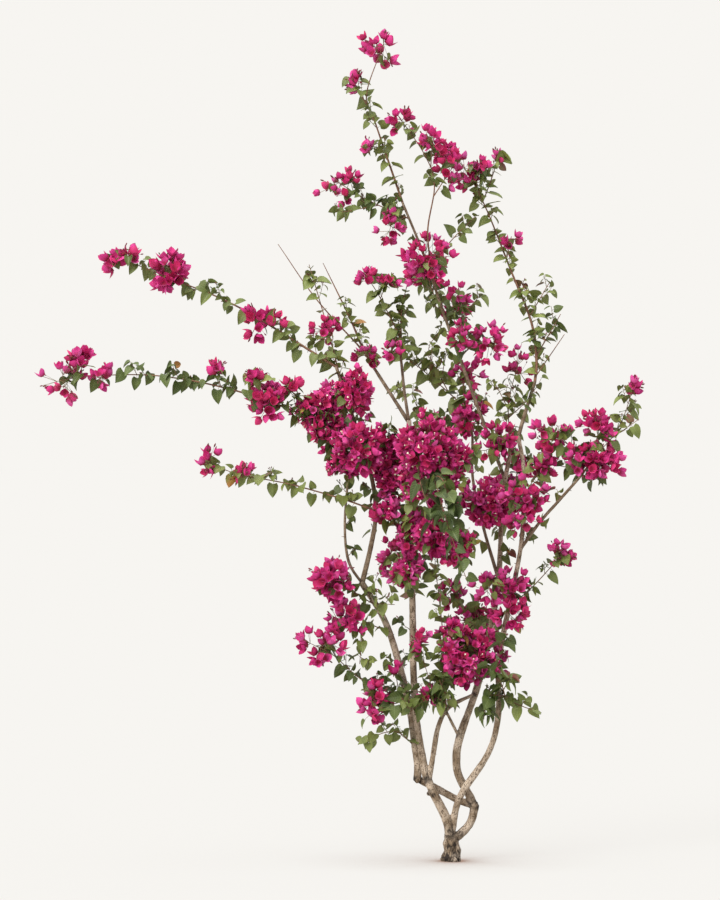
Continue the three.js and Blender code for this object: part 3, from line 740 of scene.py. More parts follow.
# The object's evaluated shape as a plain mesh object, in place of the object.
def settled(name, source):
    evaluated = source.evaluated_get(bpy.context.evaluated_depsgraph_get())
    mesh = bpy.data.meshes.new_from_object(evaluated)
    bpy.data.objects.remove(source)
    mesh.name = name
    for label in ("thickness", "kind", "turn", "size"):
        if label in mesh.attributes:
            mesh.attributes.remove(mesh.attributes[label])
    return placed(name, mesh)


def setPoints(mesh, label, kind, values, part="value"):
    mesh.attributes.new(label, kind, "POINT").data.foreach_set(part, values)


# Paths are lists of points with a radius at each, one open run of edges for each path.
def tubes(name, paths, sides, finish):
    places, edges, radii = [], [], []
    for line, widths in paths:
        first = len(places)
        places += [tuple(p) for p in line]
        radii += [float(w) for w in widths]
        edges += [(first + i, first + i + 1) for i in range(len(line) - 1)]
    mesh = bpy.data.meshes.new(name + "Paths")
    mesh.from_pydata(places, edges, [])
    setPoints(mesh, "thickness", "FLOAT", radii)
    return grown(name, mesh, alongPaths, {"Sides": sides, "Finish": finish})


# A crop is a list of (place, turn, size, number of the pattern).
def scattered(name, crop, patterns, finish):
    places, turns, sizes, kinds = zip(*crop)
    mesh = bpy.data.meshes.new(name + "Points")
    mesh.from_pydata([tuple(p) for p in places], [], [])
    setPoints(mesh, "turn", "QUATERNION", [v for turn in turns for v in turn])
    setPoints(mesh, "size", "FLOAT", sizes)
    setPoints(mesh, "kind", "INT", kinds)
    return grown(name, mesh, onPoints, {"Shapes": patterns, "Finish": finish})


# A collection of patterns that stays out of the scene.
def patternsOf(name, meshes):
    collection = bpy.data.collections.new(name)
    for i, mesh in enumerate(meshes):
        collection.objects.link(bpy.data.objects.new(f"{name}{i}", mesh))
    return collection


# A sheet of rows and columns of points, closed to one point where a row has no width. Marks are the points'
# places on the map of veins.
def sheetMesh(grid, marks):
    rows, columns = len(grid), len(grid[0])
    places, numbers = [], []
    for row in grid:
        if np.ptp(np.array(row), axis=0).max() < 1e-7:
            numbers.append([len(places)] * columns)
            places.append(tuple(row[0]))
        else:
            numbers.append(list(range(len(places), len(places) + columns)))
            places += [tuple(p) for p in row]
    faces, spots = [], []
    for i in range(rows - 1):
        for j in range(columns - 1):
            face = []
            for a, b in [(i, j), (i, j + 1), (i + 1, j + 1), (i + 1, j)]:
                if numbers[a][b] not in face:
                    face.append(numbers[a][b])
                    spots.append(marks[a][b])
            faces.append(face)
    return places, faces, spots


def joined(name, sheets):
    places, faces, spots = [], [], []
    for morePlaces, moreFaces, moreSpots in sheets:
        faces += [[n + len(places) for n in face] for face in moreFaces]
        places += morePlaces
        spots += moreSpots
    mesh = bpy.data.meshes.new(name)
    mesh.from_pydata(places, [], faces)
    mesh.uv_layers.new(name="veins").data.foreach_set("uv", [v for spot in spots for v in spot])
    mesh.shade_smooth()
    return mesh


# Points and marks of a sheet, from a rule that gives both for a row and a share from -1 to 1 across it.
def ruledSheet(rows, columns, rule):
    across = [j / columns for j in range(-columns, columns + 1)]
    both = [[rule(row, v) for v in across] for row in rows]
    grid = [[place for place, _ in row] for row in both]
    return sheetMesh(grid, [[mark for _, mark in row] for row in both])


# A heart-shaped leaf of unit length that rises along +Y and faces +Z.
leafForm = {
    "width": 0.92,
    "belly": 0.55,
    "lobes": 0.2,
    "rows": [0, 0.06, 0.2, 0.4, 0.62, 0.82, 1],
    "columns": 2,  # in each half
}
leafKinds = [
    {"fold": 0.2, "droop": 0.12, "wave": 0.02, "lean": 0.0},
    {"fold": 0.4, "droop": 0.22, "wave": 0.03, "lean": 0.05},
    {"fold": 0.12, "droop": 0.3, "wave": 0.04, "lean": -0.06},
    {"fold": 0.7, "droop": 0.2, "wave": 0.02, "lean": 0.04},
    {"fold": 0.3, "droop": 0.45, "wave": 0.03, "lean": -0.03},
]


def leafMesh(name, kind):
    def leafPoint(t, v):
        width = 0
        if 0 < t < 1:
            width = leafForm["width"] / 2 * math.sin(math.pi * t ** leafForm["belly"]) ** 0.85
        x = v * width * (1 - 0.25 * kind["fold"]) + kind["lean"] * t * t
        y = t - leafForm["lobes"] * abs(v) * (1 - t) ** 3 * (width > 0)
        y -= 0.1 * kind["droop"] * t * t
        z = kind["fold"] * abs(v) * width - kind["droop"] * t * t
        z += kind["wave"] * math.sin(5 * t + 3 * v) * abs(v)
        return (x, y, z), (0.5 + v * width, t)
    return joined(name, [ruledSheet(leafForm["rows"], leafForm["columns"], leafPoint)])


# A bloom is three papery bracts round its stalk, from a shut cup to wide open, that rise along +Z.
bractForm = {
    "length": 34,
    "width": 34,
    "rows": [0, 0.18, 0.4, 0.65, 0.86, 1],
    "shut": [82, 60, 28, 8, 0, 8],  # how far the bract leans out from the bloom's axis, row by row
    "open": [88, 76, 62, 56, 60, 76],
    "ruffle": 1.3,
    "throat": 10,  # the least radius that a bract is wrapped round
}
# Opening, size and columns of each half bract: cups for loose trusses, then small blooms for full heads.
bloomKinds = [
    (0.0, 1.12, 2), (0.05, 1.1, 2), (0.12, 1.06, 2), (0.24, 1.0, 2),
    (0.06, 0.8, 1), (0.16, 0.8, 1), (0.28, 0.76, 1), (0.42, 0.72, 1), (0.6, 0.68, 1),
]
cupKinds = 4


def bractSheet(opening, scale, columns, about, random):
    lean = 9 * (random() - 0.5)
    size = scale * (0.92 + 0.16 * random())
    phase = 6 * random()
    angles = [a + (b - a) * opening + lean for a, b in zip(bractForm["shut"], bractForm["open"])]
    rows = bractForm["rows"]
    out, rise = [0.0], [0.0]
    for i in range(1, len(rows)):
        angle = math.radians((angles[i] + angles[i - 1]) / 2)
        part = (rows[i] - rows[i - 1]) * bractForm["length"] * size
        out.append(out[-1] + part * math.sin(angle))
        rise.append(rise[-1] + part * math.cos(angle))

    def bractPoint(i, v):
        u = rows[i]
        width = 0
        if 0 < u < 1:
            width = bractForm["width"] / 2 * math.sin(math.pi * u ** 0.8) ** 0.82 * size
        bend = max(out[i], bractForm["throat"])
        wrap = v * width / bend
        wrapped = np.array([out[i] * math.cos(wrap), bend * math.sin(wrap)])
        flat = np.array([out[i], v * width])
        x, y = wrapped + (flat - wrapped) * min(1, 0.25 + 0.6 * opening)
        z = rise[i] + bractForm["ruffle"] * math.sin(4.2 * v + phase) * u * abs(v) + 1.5 * abs(v) * u
        turned = Matrix.Rotation(about, 3, "Z") @ Vector((x, y, z))
        return tuple(turned * mm), (0.5 + v * width / bractForm["width"], u)
    return ruledSheet(range(len(rows)), columns, bractPoint)


def bloomMesh(name, opening, scale, columns, seed):
    random = skipped(randomFrom(seed), 3)
    turns = [k * fullTurn / 3 + 0.25 * (random() - 0.5) for k in range(3)]
    return joined(name, [bractSheet(opening, scale, columns, turn, random) for turn in turns])


# The small true flower: a slim tube with a five-pointed star at its mouth.
flowerForm = {"foot": 7, "reach": 24, "tube": 1.3, "star": 4.6, "notch": 2.1, "corners": 10}


def circlePoint(middle, radius, angle, rise=0):
    return middle + np.array([radius * math.cos(angle), radius * math.sin(angle), rise])


def flowerMesh(name, lean):
    foot = np.array([lean * 0.2, 0, flowerForm["foot"]])
    tip = np.array([lean, 0, flowerForm["reach"]])
    places = []
    for middle, radius in ((foot, flowerForm["tube"] * 0.7), (tip, flowerForm["tube"])):
        places += [circlePoint(middle, radius, k * fullTurn / 3) for k in range(3)]
    faces = [[k, (k + 1) % 3, 3 + (k + 1) % 3, 3 + k] for k in range(3)]
    rim, corners = len(places), flowerForm["corners"]
    for k in range(corners):
        radius, rise = (flowerForm["notch"], 1.2) if k % 2 else (flowerForm["star"], 0.4)
        places.append(circlePoint(tip, radius, k * fullTurn / corners, rise))
    places.append(tip)
    faces += [[rim + k, rim + (k + 1) % corners, len(places) - 1] for k in range(corners)]
    mesh = bpy.data.meshes.new(name)
    mesh.from_pydata([tuple(p * mm) for p in places], [], faces)
    return mesh


# A bud is a slim drop along +Z, of unit length.
budForm = {"rows": [(0, 0.05), (0.3, 0.17), (0.62, 0.2), (0.88, 0.11), (1, 0)], "sides": 5}


def budMesh(name, bend):
    shares = [k / budForm["sides"] for k in range(budForm["sides"] + 1)]
    grid, marks = [], []
    for height, radius in budForm["rows"]:
        middle = np.array([bend * height ** 2, 0, height])
        grid.append([circlePoint(middle, radius, -share * fullTurn) for share in shares])
        marks.append([(share, height) for share in shares])
    return joined(name, [sheetMesh(grid, marks)])


bloomSeed = 7
leafShapes = [leafMesh(f"leafShape{i}", kind) for i, kind in enumerate(leafKinds)]
bloomShapes = [bloomMesh(f"bloomShape{i}", *kind, bloomSeed + i) for i, kind in enumerate(bloomKinds)]
leafPatterns = patternsOf("leafPattern", leafShapes)
bloomPatterns = patternsOf("bloomPattern", bloomShapes)
flowerPatterns = patternsOf("flowerPattern", [flowerMesh("flowerShape0", 0), flowerMesh("flowerShape1", 5)])
budPatterns = patternsOf("budPattern", [budMesh("budShape0", 0), budMesh("budShape1", 0.15)])
print("leaf, bract, flower and bud shapes are made")


# What the twigs carry, gathered while they grow: paths of wood, and places for leaves, blooms, flowers
# and buds.
crops = {"spray": [], "shoot": [], "stalk": [], "thorn": [], "flower": [], "bud": []}
# The last leaf tint, only given in the tables, is a darker copy of the leaf tone: painted shade for leaves
# hanging in the open.
leafTints = 4  # the tints that are drawn from, and one more is only given in the tables
bloomTints = 4
leafCrops = [[] for _ in range(leafTints + 1)]
blushCrop, turningCrop = [], []
bloomCrops = [[] for _ in range(bloomTints)]


def turnTo(out, face):
    across = unit(np.cross(out, face))
    return Matrix((across, out, np.cross(across, out))).transposed().to_quaternion()


def turnAxis(axis, spin):
    return Vector(axis).to_track_quat("Z", "Y") @ Quaternion((0, 0, 1), spin)


# The leaves' rule, in millimetres: blades hang from short stalks, and beside most of them a short shoot
# carries smaller ones.
foliage = {
    "first": 30,
    "spacing": 46,
    "blade": 46,
    "stalk": 10,
    "hang": 0.8,
    "crowd": 13,  # the least room from one leaf to the next
    "woodRoom": 3,  # and from a leaf to the limbs
    "shoot": 50,
    "shootRadii": (1.3, 1.0, 0.7),
    "shootShare": 0.85,
    "shootLeaves": 7,
    "smallBlade": 35,
    "shootBuds": 0.45,  # the share of shoots that end in buds
    "budStalk": 7,
    "turning": 0.006,  # a leaf whose draw is under this is yellow
    "blushed": 0.03,  # and under this, if it is a small one, red
    "youngBelow": 34,
}
# Where the leaves are larger or smaller than elsewhere, and where shoots are fewer.
leafSizes = {
    "front_hanging": 1.3, "low_right_leaves": 1.1, "low_centre": 1.1, "lowest_left": 0.9, "inner_top": 1.12,
    "upright": 1.05,
}
shootShares = {"front_hanging": 0.15}
leafSpots = {}


# Keeps leaves and blooms from growing through one another.
def isUncrowded(spots, place, room):
    cell = tuple(int(math.floor(v / room)) for v in place)
    for step in itertools.product((-1, 0, 1), repeat=3):
        near = tuple(c + s for c, s in zip(cell, step))
        if any(np.linalg.norm(other - place) < room for other in spots.get(near, ())):
            return False
    spots.setdefault(cell, []).append(np.array(place))
    return True


def addWood(kind, line, *radii):
    crops[kind].append((line, [radius * mm for radius in radii]))


def addStalk(start, end, rise, foot=0.8, tip=0.6):
    middle = (start + end) / 2 + upright * rise * mm
    addWood("stalk", [start, middle, end], foot, (foot + tip) / 2, tip)


def addBud(place, heading, size, draw):
    crops["bud"].append((place, turnAxis(heading, 0), size * mm, int(draw() * len(budPatterns.objects))))


def addLeaf(root, out, face, size, tint, draw):
    size *= mm
    middle = root + out * size * 0.5
    if not isOffTheWood(middle, foliage["woodRoom"] * mm):
        return
    if not isUncrowded(leafSpots, middle, foliage["crowd"] * mm):
        return
    chance = draw()
    crop = leafCrops[tint]
    if chance < foliage["turning"]:
        crop = turningCrop
    elif chance < foliage["blushed"] and size < foliage["youngBelow"] * mm:
        crop = blushCrop
    crop.append((root, turnTo(out, face), size, int(draw() * len(leafKinds))))


def stalkedLeaf(root, away, out, face, size, tint, draw):
    stalk = foliage["stalk"] * (0.7 + 0.6 * draw()) * size / 40 * mm
    foot = root + unit(away + upright * 0.55) * stalk
    addStalk(root, foot, 0.8)
    addLeaf(foot, out, face, size, tint, draw)


# A leaf hangs from its stalk with its face turned out from the twig, to the side that it grows on.
def faceFrom(away, along, draw):
    across = np.cross(along, upright)
    level = unit(np.array([away[0], away[1], 0]))
    if np.linalg.norm(across) > 0.5:
        level = unit(across) * (1 if across.dot(away) > 0 else -1)
    return level + upright * 0.35 + randomWay(draw) * 0.7


# A short shoot with leaves round it, smaller toward its tip, and sometimes buds at the end.
def addShoot(root, heading, size, tint, draw, leaves):
    length = foliage["shoot"] * (0.6 + 0.7 * draw()) * mm
    bend = root + heading * length * 0.55
    tip = bend + unit(heading + upright * 0.5) * length * 0.45
    addWood("shoot", [root, bend, tip], *foliage["shootRadii"])
    side, front = squareTo(heading)
    spin = anyTurn(draw)
    for k in range(leaves):
        share = 0.3 + 0.7 * k / max(1, leaves - 1)
        at = root + (bend - root) * share * 2 if share < 0.5 else bend + (tip - bend) * (share * 2 - 1)
        spin += leafTurn
        away = between(side, front, spin)
        out = unit(away + heading * (0.3 + 0.3 * draw()) - upright * (0.35 + 0.5 * draw()))
        blade = foliage["smallBlade"] * (1.15 - 0.35 * share) * (0.8 + 0.4 * draw()) * size
        face = faceFrom(away, heading, draw)
        stalkedLeaf(at, away, out, face, blade, tint, draw)
    if draw() < foliage["shootBuds"]:
        for _ in range(3):
            reach = unit(heading + randomWay(draw, (0.5, 0.5, 0)) * 1.2)
            end = tip + reach * foliage["budStalk"] * mm
            addStalk(tip, end, 0)
            addBud(end, reach, 5 + 4 * draw(), draw)


def leavesAlong(line, massName, openPart, heads, random, draw, tint):
    length = lengthOf(line) / mm
    count = int((length - foliage["first"]) // foliage["spacing"]) + 1
    rings = ringsAlong(line)
    start = int(random() * 3)
    for i in range(count):
        share = (foliage["first"] + i * foliage["spacing"]) / length
        size, sway, turn = 0.8 + 0.3 * random(), random() - 0.5, random() * fullTurn
        if openPart[0] <= share < openPart[1]:
            continue
        side, front = rings[round(share * (len(rings) - 1))]
        along = directionOn(line, share)
        away = between(front, side, (start + i + 0.5) * fullTurn / 3)
        root = pointOn(line, share)
        steep = abs(along[2])
        hang = foliage["hang"] * (0.9 + 0.6 * draw()) * (1 - 0.55 * steep)
        out = unit(away * (0.55 + 0.6 * steep) + along * (0.25 + 0.5 * sway) - upright * hang)
        face = faceFrom(away, along, draw) + 0.4 * np.array([math.cos(turn), math.sin(turn), 0])
        face += upright * 0.5 * steep
        size *= leafSizes.get(massName, 1)
        stalkedLeaf(root, away, out, face, foliage["blade"] * size, tint, draw)
        if any(abs(share - at) * length < radius * 1.1 for at, radius in heads):
            continue
        if draw() < foliage["shootShare"] * shootShares.get(massName, 1):
            opposite = unit(-away * 0.7 + along * 0.7 + upright * (0.2 + 0.5 * draw()))
            addShoot(root, opposite, size, tint, draw, 3 + int(draw() * (foliage["shootLeaves"] - 2)))
        else:
            second = unit(-away + along * 0.5 - upright * 0.4)
            blade = foliage["blade"] * 0.7 * size
            stalkedLeaf(root + along * 6 * mm, -away, second, face, blade, tint, draw)


# A truss's blooms stand round its hub in the directions of a regular solid's faces, as many as its size
# carries.
trussForm = {
    "small": 50,  # under this radius the solid is a tetrahedron
    "large": 76,  # and from this one an icosahedron
    "missing": 0.13,  # the share of directions without blooms
    "fullCount": 4,
    "looseCount": 3.6,
    "bloom": 14.2,
    "cup": 22,
    "room": 9.5,  # the least room between small blooms, and then between cups
    "cupRoom": 21,
    "footRoom": 4,  # how far a bloom's foot, its mouth and a bud stay off the limbs
    "mouthRoom": 12,
    "budRoom": 2,
    "stemRadii": (1.3, 1.1, 0.9),
    "smallShare": 0.85,  # how many blooms of a full head are small ones
    "flowerShare": 0.45,
    "fullLeaf": 8,  # a leaf for each so many millimetres of radius, in full and in loose heads
    "looseLeaf": 24,
}
# How large the blooms are: largest at the outer tips and smallest within the crown.
otherBlooms = 0.82
bloomSizes = {
    "tall_top": 1.02, "spray_left_upper": 1, "spray_left_middle": 0.94, "spray_left_lower": 0.95,
    "right_spray": 0.9, "low_left_high": 0.94, "low_left_mid": 0.94, "low_left_low": 0.94, "low_right": 0.88,
    "right_mid": 0.88, "head_upper": 0.86, "mid_top": 0.88,
}
# The masses with full heads of small blooms. The others carry cups on longer stalks.
fullHeads = [
    "head_left_large", "head_left_low", "head_centre_left", "head_centre_front", "head_under_left",
    "head_under_right", "head_right_mid", "head_low", "back_centre", "back_left", "back_right",
]
golden = (1 + math.sqrt(5)) / 2
tetraFaces = [(-1, 1, 1), (1, 1, -1), (1, -1, 1), (-1, -1, -1)]
octaFaces = [
    (1, 1, 1), (1, -1, 1), (1, -1, -1), (1, 1, -1), (-1, 1, -1), (-1, -1, -1), (-1, -1, 1), (-1, 1, 1),
]
icosaCorners = [
    (-1, golden, 0), (1, golden, 0), (-1, -golden, 0), (1, -golden, 0),
    (0, -1, golden), (0, 1, golden), (0, -1, -golden), (0, 1, -golden),
    (golden, 0, -1), (golden, 0, 1), (-golden, 0, -1), (-golden, 0, 1),
]
icosaFaces = [
    (0, 11, 5), (0, 5, 1), (0, 1, 7), (0, 7, 10), (0, 10, 11), (1, 5, 9), (5, 11, 4), (11, 10, 2),
    (10, 7, 6), (7, 1, 8), (3, 9, 4), (3, 4, 2), (3, 2, 6), (3, 6, 8), (3, 8, 9), (4, 9, 5), (2, 4, 11),
    (6, 2, 10), (8, 6, 7), (9, 8, 1),
]
bloomSpots = {}


def trussDirections(radius, back, twist):
    if radius < trussForm["small"]:
        faces = tetraFaces
    elif radius < trussForm["large"]:
        faces = octaFaces
    else:
        faces = [np.sum([icosaCorners[n] for n in face], axis=0) for face in icosaFaces]
    faces = [Vector(face).normalized() for face in faces]
    turn = Quaternion(back, twist) @ faces[0].rotation_difference(Vector(back))
    return [np.array(turn @ face) for face in faces]


def addBloom(fork, mouth, tint, draw, isCup, scale):
    kind = int(draw() * cupKinds) if isCup else cupKinds + int(draw() * (len(bloomKinds) - cupKinds))
    size = (0.86 + 0.24 * draw()) * scale
    loose = randomWay(draw) * (0.4 if isCup else 0.7)
    axis = unit(unit(mouth - fork) + upright * (0.4 if isCup else 0.25) + loose)
    length = bractForm["length"] * bloomKinds[kind][1] * size * mm
    foot = mouth - axis * length
    if not isOffTheWood(foot, trussForm["footRoom"] * mm):
        return
    if not isOffTheWood(mouth, trussForm["mouthRoom"] * mm):
        return
    room = trussForm["cupRoom" if isCup else "room"] * scale * mm
    if not isUncrowded(bloomSpots, mouth - axis * length * 0.4, room):
        return
    turn = turnAxis(axis, anyTurn(draw))
    bloomCrops[tint].append((foot, turn, size, kind))
    addStalk(fork, foot, 0, 1.0 if isCup else 0.8, 0.8 if isCup else 0.6)
    if not isCup and kind > cupKinds and draw() < trussForm["flowerShare"]:
        flowerSize = size * (0.75 + 0.25 * draw())
        crops["flower"].append((foot, turn, flowerSize, int(draw() * len(flowerPatterns.objects))))


def trussBuds(fork, heading, reach, airy, draw):
    for _ in range(2 + int(draw() * 4 * airy)):
        aside = unit(heading + randomWay(draw, (0.5, 0.5, 0.3)) * 1.4)
        end = fork + aside * reach * (0.3 + 0.3 * draw())
        if isOffTheWood(end, trussForm["budRoom"] * mm):
            addStalk(fork, end, 0, 0.7, 0.5)
            addBud(end, aside, 8 + 8 * draw(), draw)


def trussLeaves(hub, along, radius, count, tint, draw):
    for _ in range(count):
        toward = unit(randomWay(draw, (0.5, 0.5, 0.75)) - along * 0.25)
        root = hub + toward * radius * (0.3 + 0.55 * draw()) * mm
        face = np.array([draw() - 0.5, draw() - 0.8, 0.7])
        addStalk(hub, root, 0)
        addLeaf(root, unit(toward - upright * 0.4), face, 22 + 18 * draw(), tint, draw)


def growTruss(line, share, radius, massName, random, draw, leafTint):
    isFull = massName in fullHeads
    scale = 1 if isFull else bloomSizes.get(massName, otherBlooms)
    along = directionOn(line, share)
    length = lengthOf(line) / mm
    airy = max(0, min(1, (trussForm["large"] - radius) / 26))
    directions = trussDirections(radius, -along, random() * fullTurn)
    blooms = trussForm["fullCount" if isFull else "looseCount"]
    blooms = blooms * (radius / trussForm["bloom" if isFull else "cup"] / scale) ** 2 * (1 - 0.3 * airy)
    each = max(1, round(blooms / (len(directions) - 1)))
    cap = math.acos(1 - 2 / len(directions))
    for number, heading in enumerate(directions):
        reach = radius * (0.66 + 0.5 * random()) * (1 + (0.2 if isFull else 0.5) * airy) * mm
        random()  # the source draws once more here
        if number == 0 or len(directions) > 4 and draw() < trussForm["missing"]:
            continue
        side, front = squareTo(heading)
        spin = anyTurn(draw)
        slide = share - draw() * radius * (0.4 + 0.8 * airy) / length
        start = pointOn(line, max(slide, 0.02))
        fork = start + heading * reach * (0.22 + 0.16 * draw())
        addWood("shoot", [start, (start + fork) / 2, fork], *trussForm["stemRadii"])
        for k in range(each):
            spin += leafTurn
            wide = cap * 1.05 * math.sqrt((k + 0.4) / each)
            toward = heading * math.cos(wide) + between(side, front, spin) * math.sin(wide)
            toward = unit(toward + upright * 0.3 * airy)
            deep = 0.62 + 0.4 * draw() if k % 3 == 2 else 0.9 + 0.32 * draw() ** 2
            isCup = draw() > trussForm["smallShare"] * isFull
            addBloom(fork, start + toward * reach * deep, int(draw() * bloomTints), draw, isCup, scale)
        trussBuds(fork, heading, reach, airy, draw)
    count = round(radius / trussForm["fullLeaf" if isFull else "looseLeaf"])
    trussLeaves(pointOn(line, share), along, radius, count, leafTint, draw)


# How thick a spray is, as radii in millimetres: its foot grows with its length, and a side spray's foot is
# no thicker than what is left of its parent there.
sprayForm = {"foot": 1.7, "thicker": 0.0028, "tip": 1.15, "taper": 0.7}


def growMass(name, seed):
    random = randomFrom(seed)
    draw = drawsFrom(seed)
    lines, feet = [], []
    for number, (start, at, places, heads, *tint) in enumerate(masses[name] + finerTwigs.get(name, [])):
        isOnLimb = start in limbLines
        parent = limbLines[start] if isOnLimb else lines[start]
        carried = limbs[start][1] * mm if isOnLimb else feet[start] * (1 - sprayForm["taper"] * at)
        line = smoothLine([pointOn(parent, at), *(np.array(places) * mm)])
        foot = min(carried, (sprayForm["foot"] + sprayForm["thicker"] * lengthOf(line) / mm) * mm)
        if isOnLimb and at == 1:
            foot = carried
        lines.append(line)
        feet.append(foot)
        crops["spray"].append((line, np.linspace(foot, sprayForm["tip"] * mm, len(line))))
        chance = draw()
        leafTint = tint[0] if tint else int(chance * leafTints)
        for share, radius in heads:
            growTruss(line, share, radius, name, random, draw, leafTint)
        if (name, number) not in bareSprays:
            openPart = openParts.get((name, number), (0, 0))
            leavesAlong(line, name, openPart, [] if name in fullHeads else heads, random, draw, leafTint)


for index, name in enumerate(masses):
    growMass(name, firstSeed + index)
leafCount = sum(len(crop) for crop in [*leafCrops, blushCrop, turningCrop])
print(f"{leafCount} leaves and {sum(len(crop) for crop in bloomCrops)} blooms have grown")


# Thorns stand on the canes, and short leafy shoots on their upper parts.
caneForm = {
    "firstSeed": 400,
    "thornSpacing": 62,
    "thorn": 9,
    "thornRadii": (1.5, 0.9, 0.15),
    "thornsFrom": 0.3,  # how high the first thorns stand, in metres
    "leafyFrom": 0.62,
    "shootSpacing": 88,
    "shootSize": 0.95,
    "bareFoot": (30, 40),  # how much of the foot stays bare, at least and drawn on top
    "bareTip": 20,
}


def dressLimb(name, seed):
    draw = drawsFrom(seed)
    line, radii = limbLines[name], limbRadii(name)
    rings = ringsAlong(line)
    length = limbLengths[name] / mm
    angle = anyTurn(draw)
    least, more = caneForm["bareFoot"]
    reach = least + more * draw()
    tint = int(draw() * leafTints)
    lastShoot = 0
    while reach < length - caneForm["bareTip"]:
        index = round(reach / length * (len(line) - 1))
        side, front = rings[index]
        along = directionOn(line, reach / length)
        angle += leafTurn
        away = between(side, front, angle)
        root = line[index] + away * radii[index] * 0.8
        height = line[index][2]
        if height > caneForm["thornsFrom"]:
            tip = root + unit(away + along * 0.25) * caneForm["thorn"] * (0.6 + 0.6 * draw()) * mm
            addWood("thorn", [root, (root + tip) / 2, tip], *caneForm["thornRadii"])
        if height > caneForm["leafyFrom"] and reach - lastShoot > caneForm["shootSpacing"]:
            lastShoot = reach
            heading = unit(away + along * 0.3 + upright * 0.3)
            addShoot(root, heading, caneForm["shootSize"], tint, draw, 2 + int(draw() * 3))
        reach += caneForm["thornSpacing"] * (0.6 + 0.8 * draw())


for index, name in enumerate(limbs):
    dressLimb(name, caneForm["firstSeed"] + index)
print("thorns and limb shoots are placed")


def newFinish(name, roughness):
    material = bpy.data.materials.new(name)
    material.use_nodes = True
    tree = material.node_tree
    shader = tree.nodes["Principled BSDF"]
    shader.inputs["Roughness"].default_value = roughness
    return material, tree, shader


def addBump(tree, shader, height, strength, distance):
    bump = addNode(tree, "ShaderNodeBump", Strength=strength, Distance=distance, Height=height)
    fill(tree, shader.inputs["Normal"], bump.outputs["Normal"])


def noiseOn(tree, source, scale, detail):
    texture = addNode(tree, "ShaderNodeTexNoise", Vector=source, Scale=scale, Detail=detail)
    return texture.outputs["Factor"] if "Factor" in texture.outputs else texture.outputs["Fac"]


def objectPlace(tree):
    return tree.nodes.new("ShaderNodeTexCoord").outputs["Object"]


# Bark: the streaks lie along each limb by the barkPlace attribute, and the shadeAndStain attribute darkens
# it with painted shade in its cracks and forks and with its stains.
def barkFinish(name, tones, scale):
    material, tree, shader = newFinish(name, 0.85)
    place = addNode(tree, "ShaderNodeAttribute", attribute_name="barkPlace")
    fold = addNode(tree, "ShaderNodeAttribute", attribute_name="shadeAndStain")
    streaks = noiseOn(tree, place.outputs["Vector"], 230 * scale, 6)
    patches = noiseOn(tree, objectPlace(tree), 22 * scale, 4)
    specks = noiseOn(tree, objectPlace(tree), 250 * scale, 3)
    colour = mixTones(tree, stretched(tree, patches, 0.36, 0.66), tones["middle"], tones["light"])
    colour = mixTones(tree, stretched(tree, streaks, 0.46, 0.3), colour, tones["dark"])
    colour = mixTones(tree, stretched(tree, specks, 0.54, 0.66), colour, tones["dark"])
    # Painted shade in cracks and forks, and the stains, from the shadeAndStain attribute.
    colour = mixTones(tree, fold.outputs["Fac"], colour, tones["shadeAndStain"])
    fill(tree, shader.inputs["Base Color"], colour)
    addBump(tree, shader, streaks, 0.5, 1.2 * mm)
    return material


# Bark tones. The shadeAndStain tone is the painted shade of cracks and forks and the colour of the stains.
oldTones = {
    "light": tone(206, 188, 168),
    "middle": tone(138, 118, 95),
    "dark": tone(70, 52, 35),
    "shadeAndStain": tone(36, 26, 17),
}
caneTones = {
    "light": tone(158, 140, 118),
    "middle": tone(118, 99, 78),
    "dark": tone(76, 58, 43),
    "shadeAndStain": tone(62, 47, 36),
}
oldBark = barkFinish("oldBark", oldTones, 1)
caneBark = barkFinish("caneBark", caneTones, 1.5)


def plainFinish(name, first, second, scale, roughness):
    material, tree, shader = newFinish(name, roughness)
    spots = noiseOn(tree, objectPlace(tree), scale, 3)
    colour = mixTones(tree, stretched(tree, spots, 0.35, 0.65), first, second)
    fill(tree, shader.inputs["Base Color"], colour)
    addBump(tree, shader, spots, 0.3, 0.4 * mm)
    return material


twigBark = plainFinish("twigBark", tone(112, 74, 60), tone(140, 104, 76), 90, 0.7)
shootBark = plainFinish("shootBark", tone(112, 104, 62), tone(122, 84, 62), 60, 0.65)
stalkSkin = plainFinish("stalkSkin", tone(118, 118, 66), tone(138, 96, 78), 40, 0.6)
budSkin = plainFinish("budSkin", tone(136, 34, 66), tone(104, 66, 50), 60, 0.6)
flowerSkin = plainFinish("flowerSkin", tone(250, 247, 234), tone(238, 234, 208), 200, 0.6)


def maths(tree, operation, *values):
    node = addNode(tree, "ShaderNodeMath", operation=operation)
    for target, value in zip(node.inputs, values):
        fill(tree, target, value)
    return node.outputs[0]


# Leaves and bracts: a midrib and side veins drawn on the piece's own map, a slow drift of tone, and on a
# bract painted shade toward its foot, in the cup's throat.
leafVeins = {"roughness": 0.5, "ribs": 7}
# The throat tone is painted shade inside the cup, at each bract's foot.
bractVeins = {"roughness": 0.7, "ribs": 6, "throat": tone(152, 20, 64)}


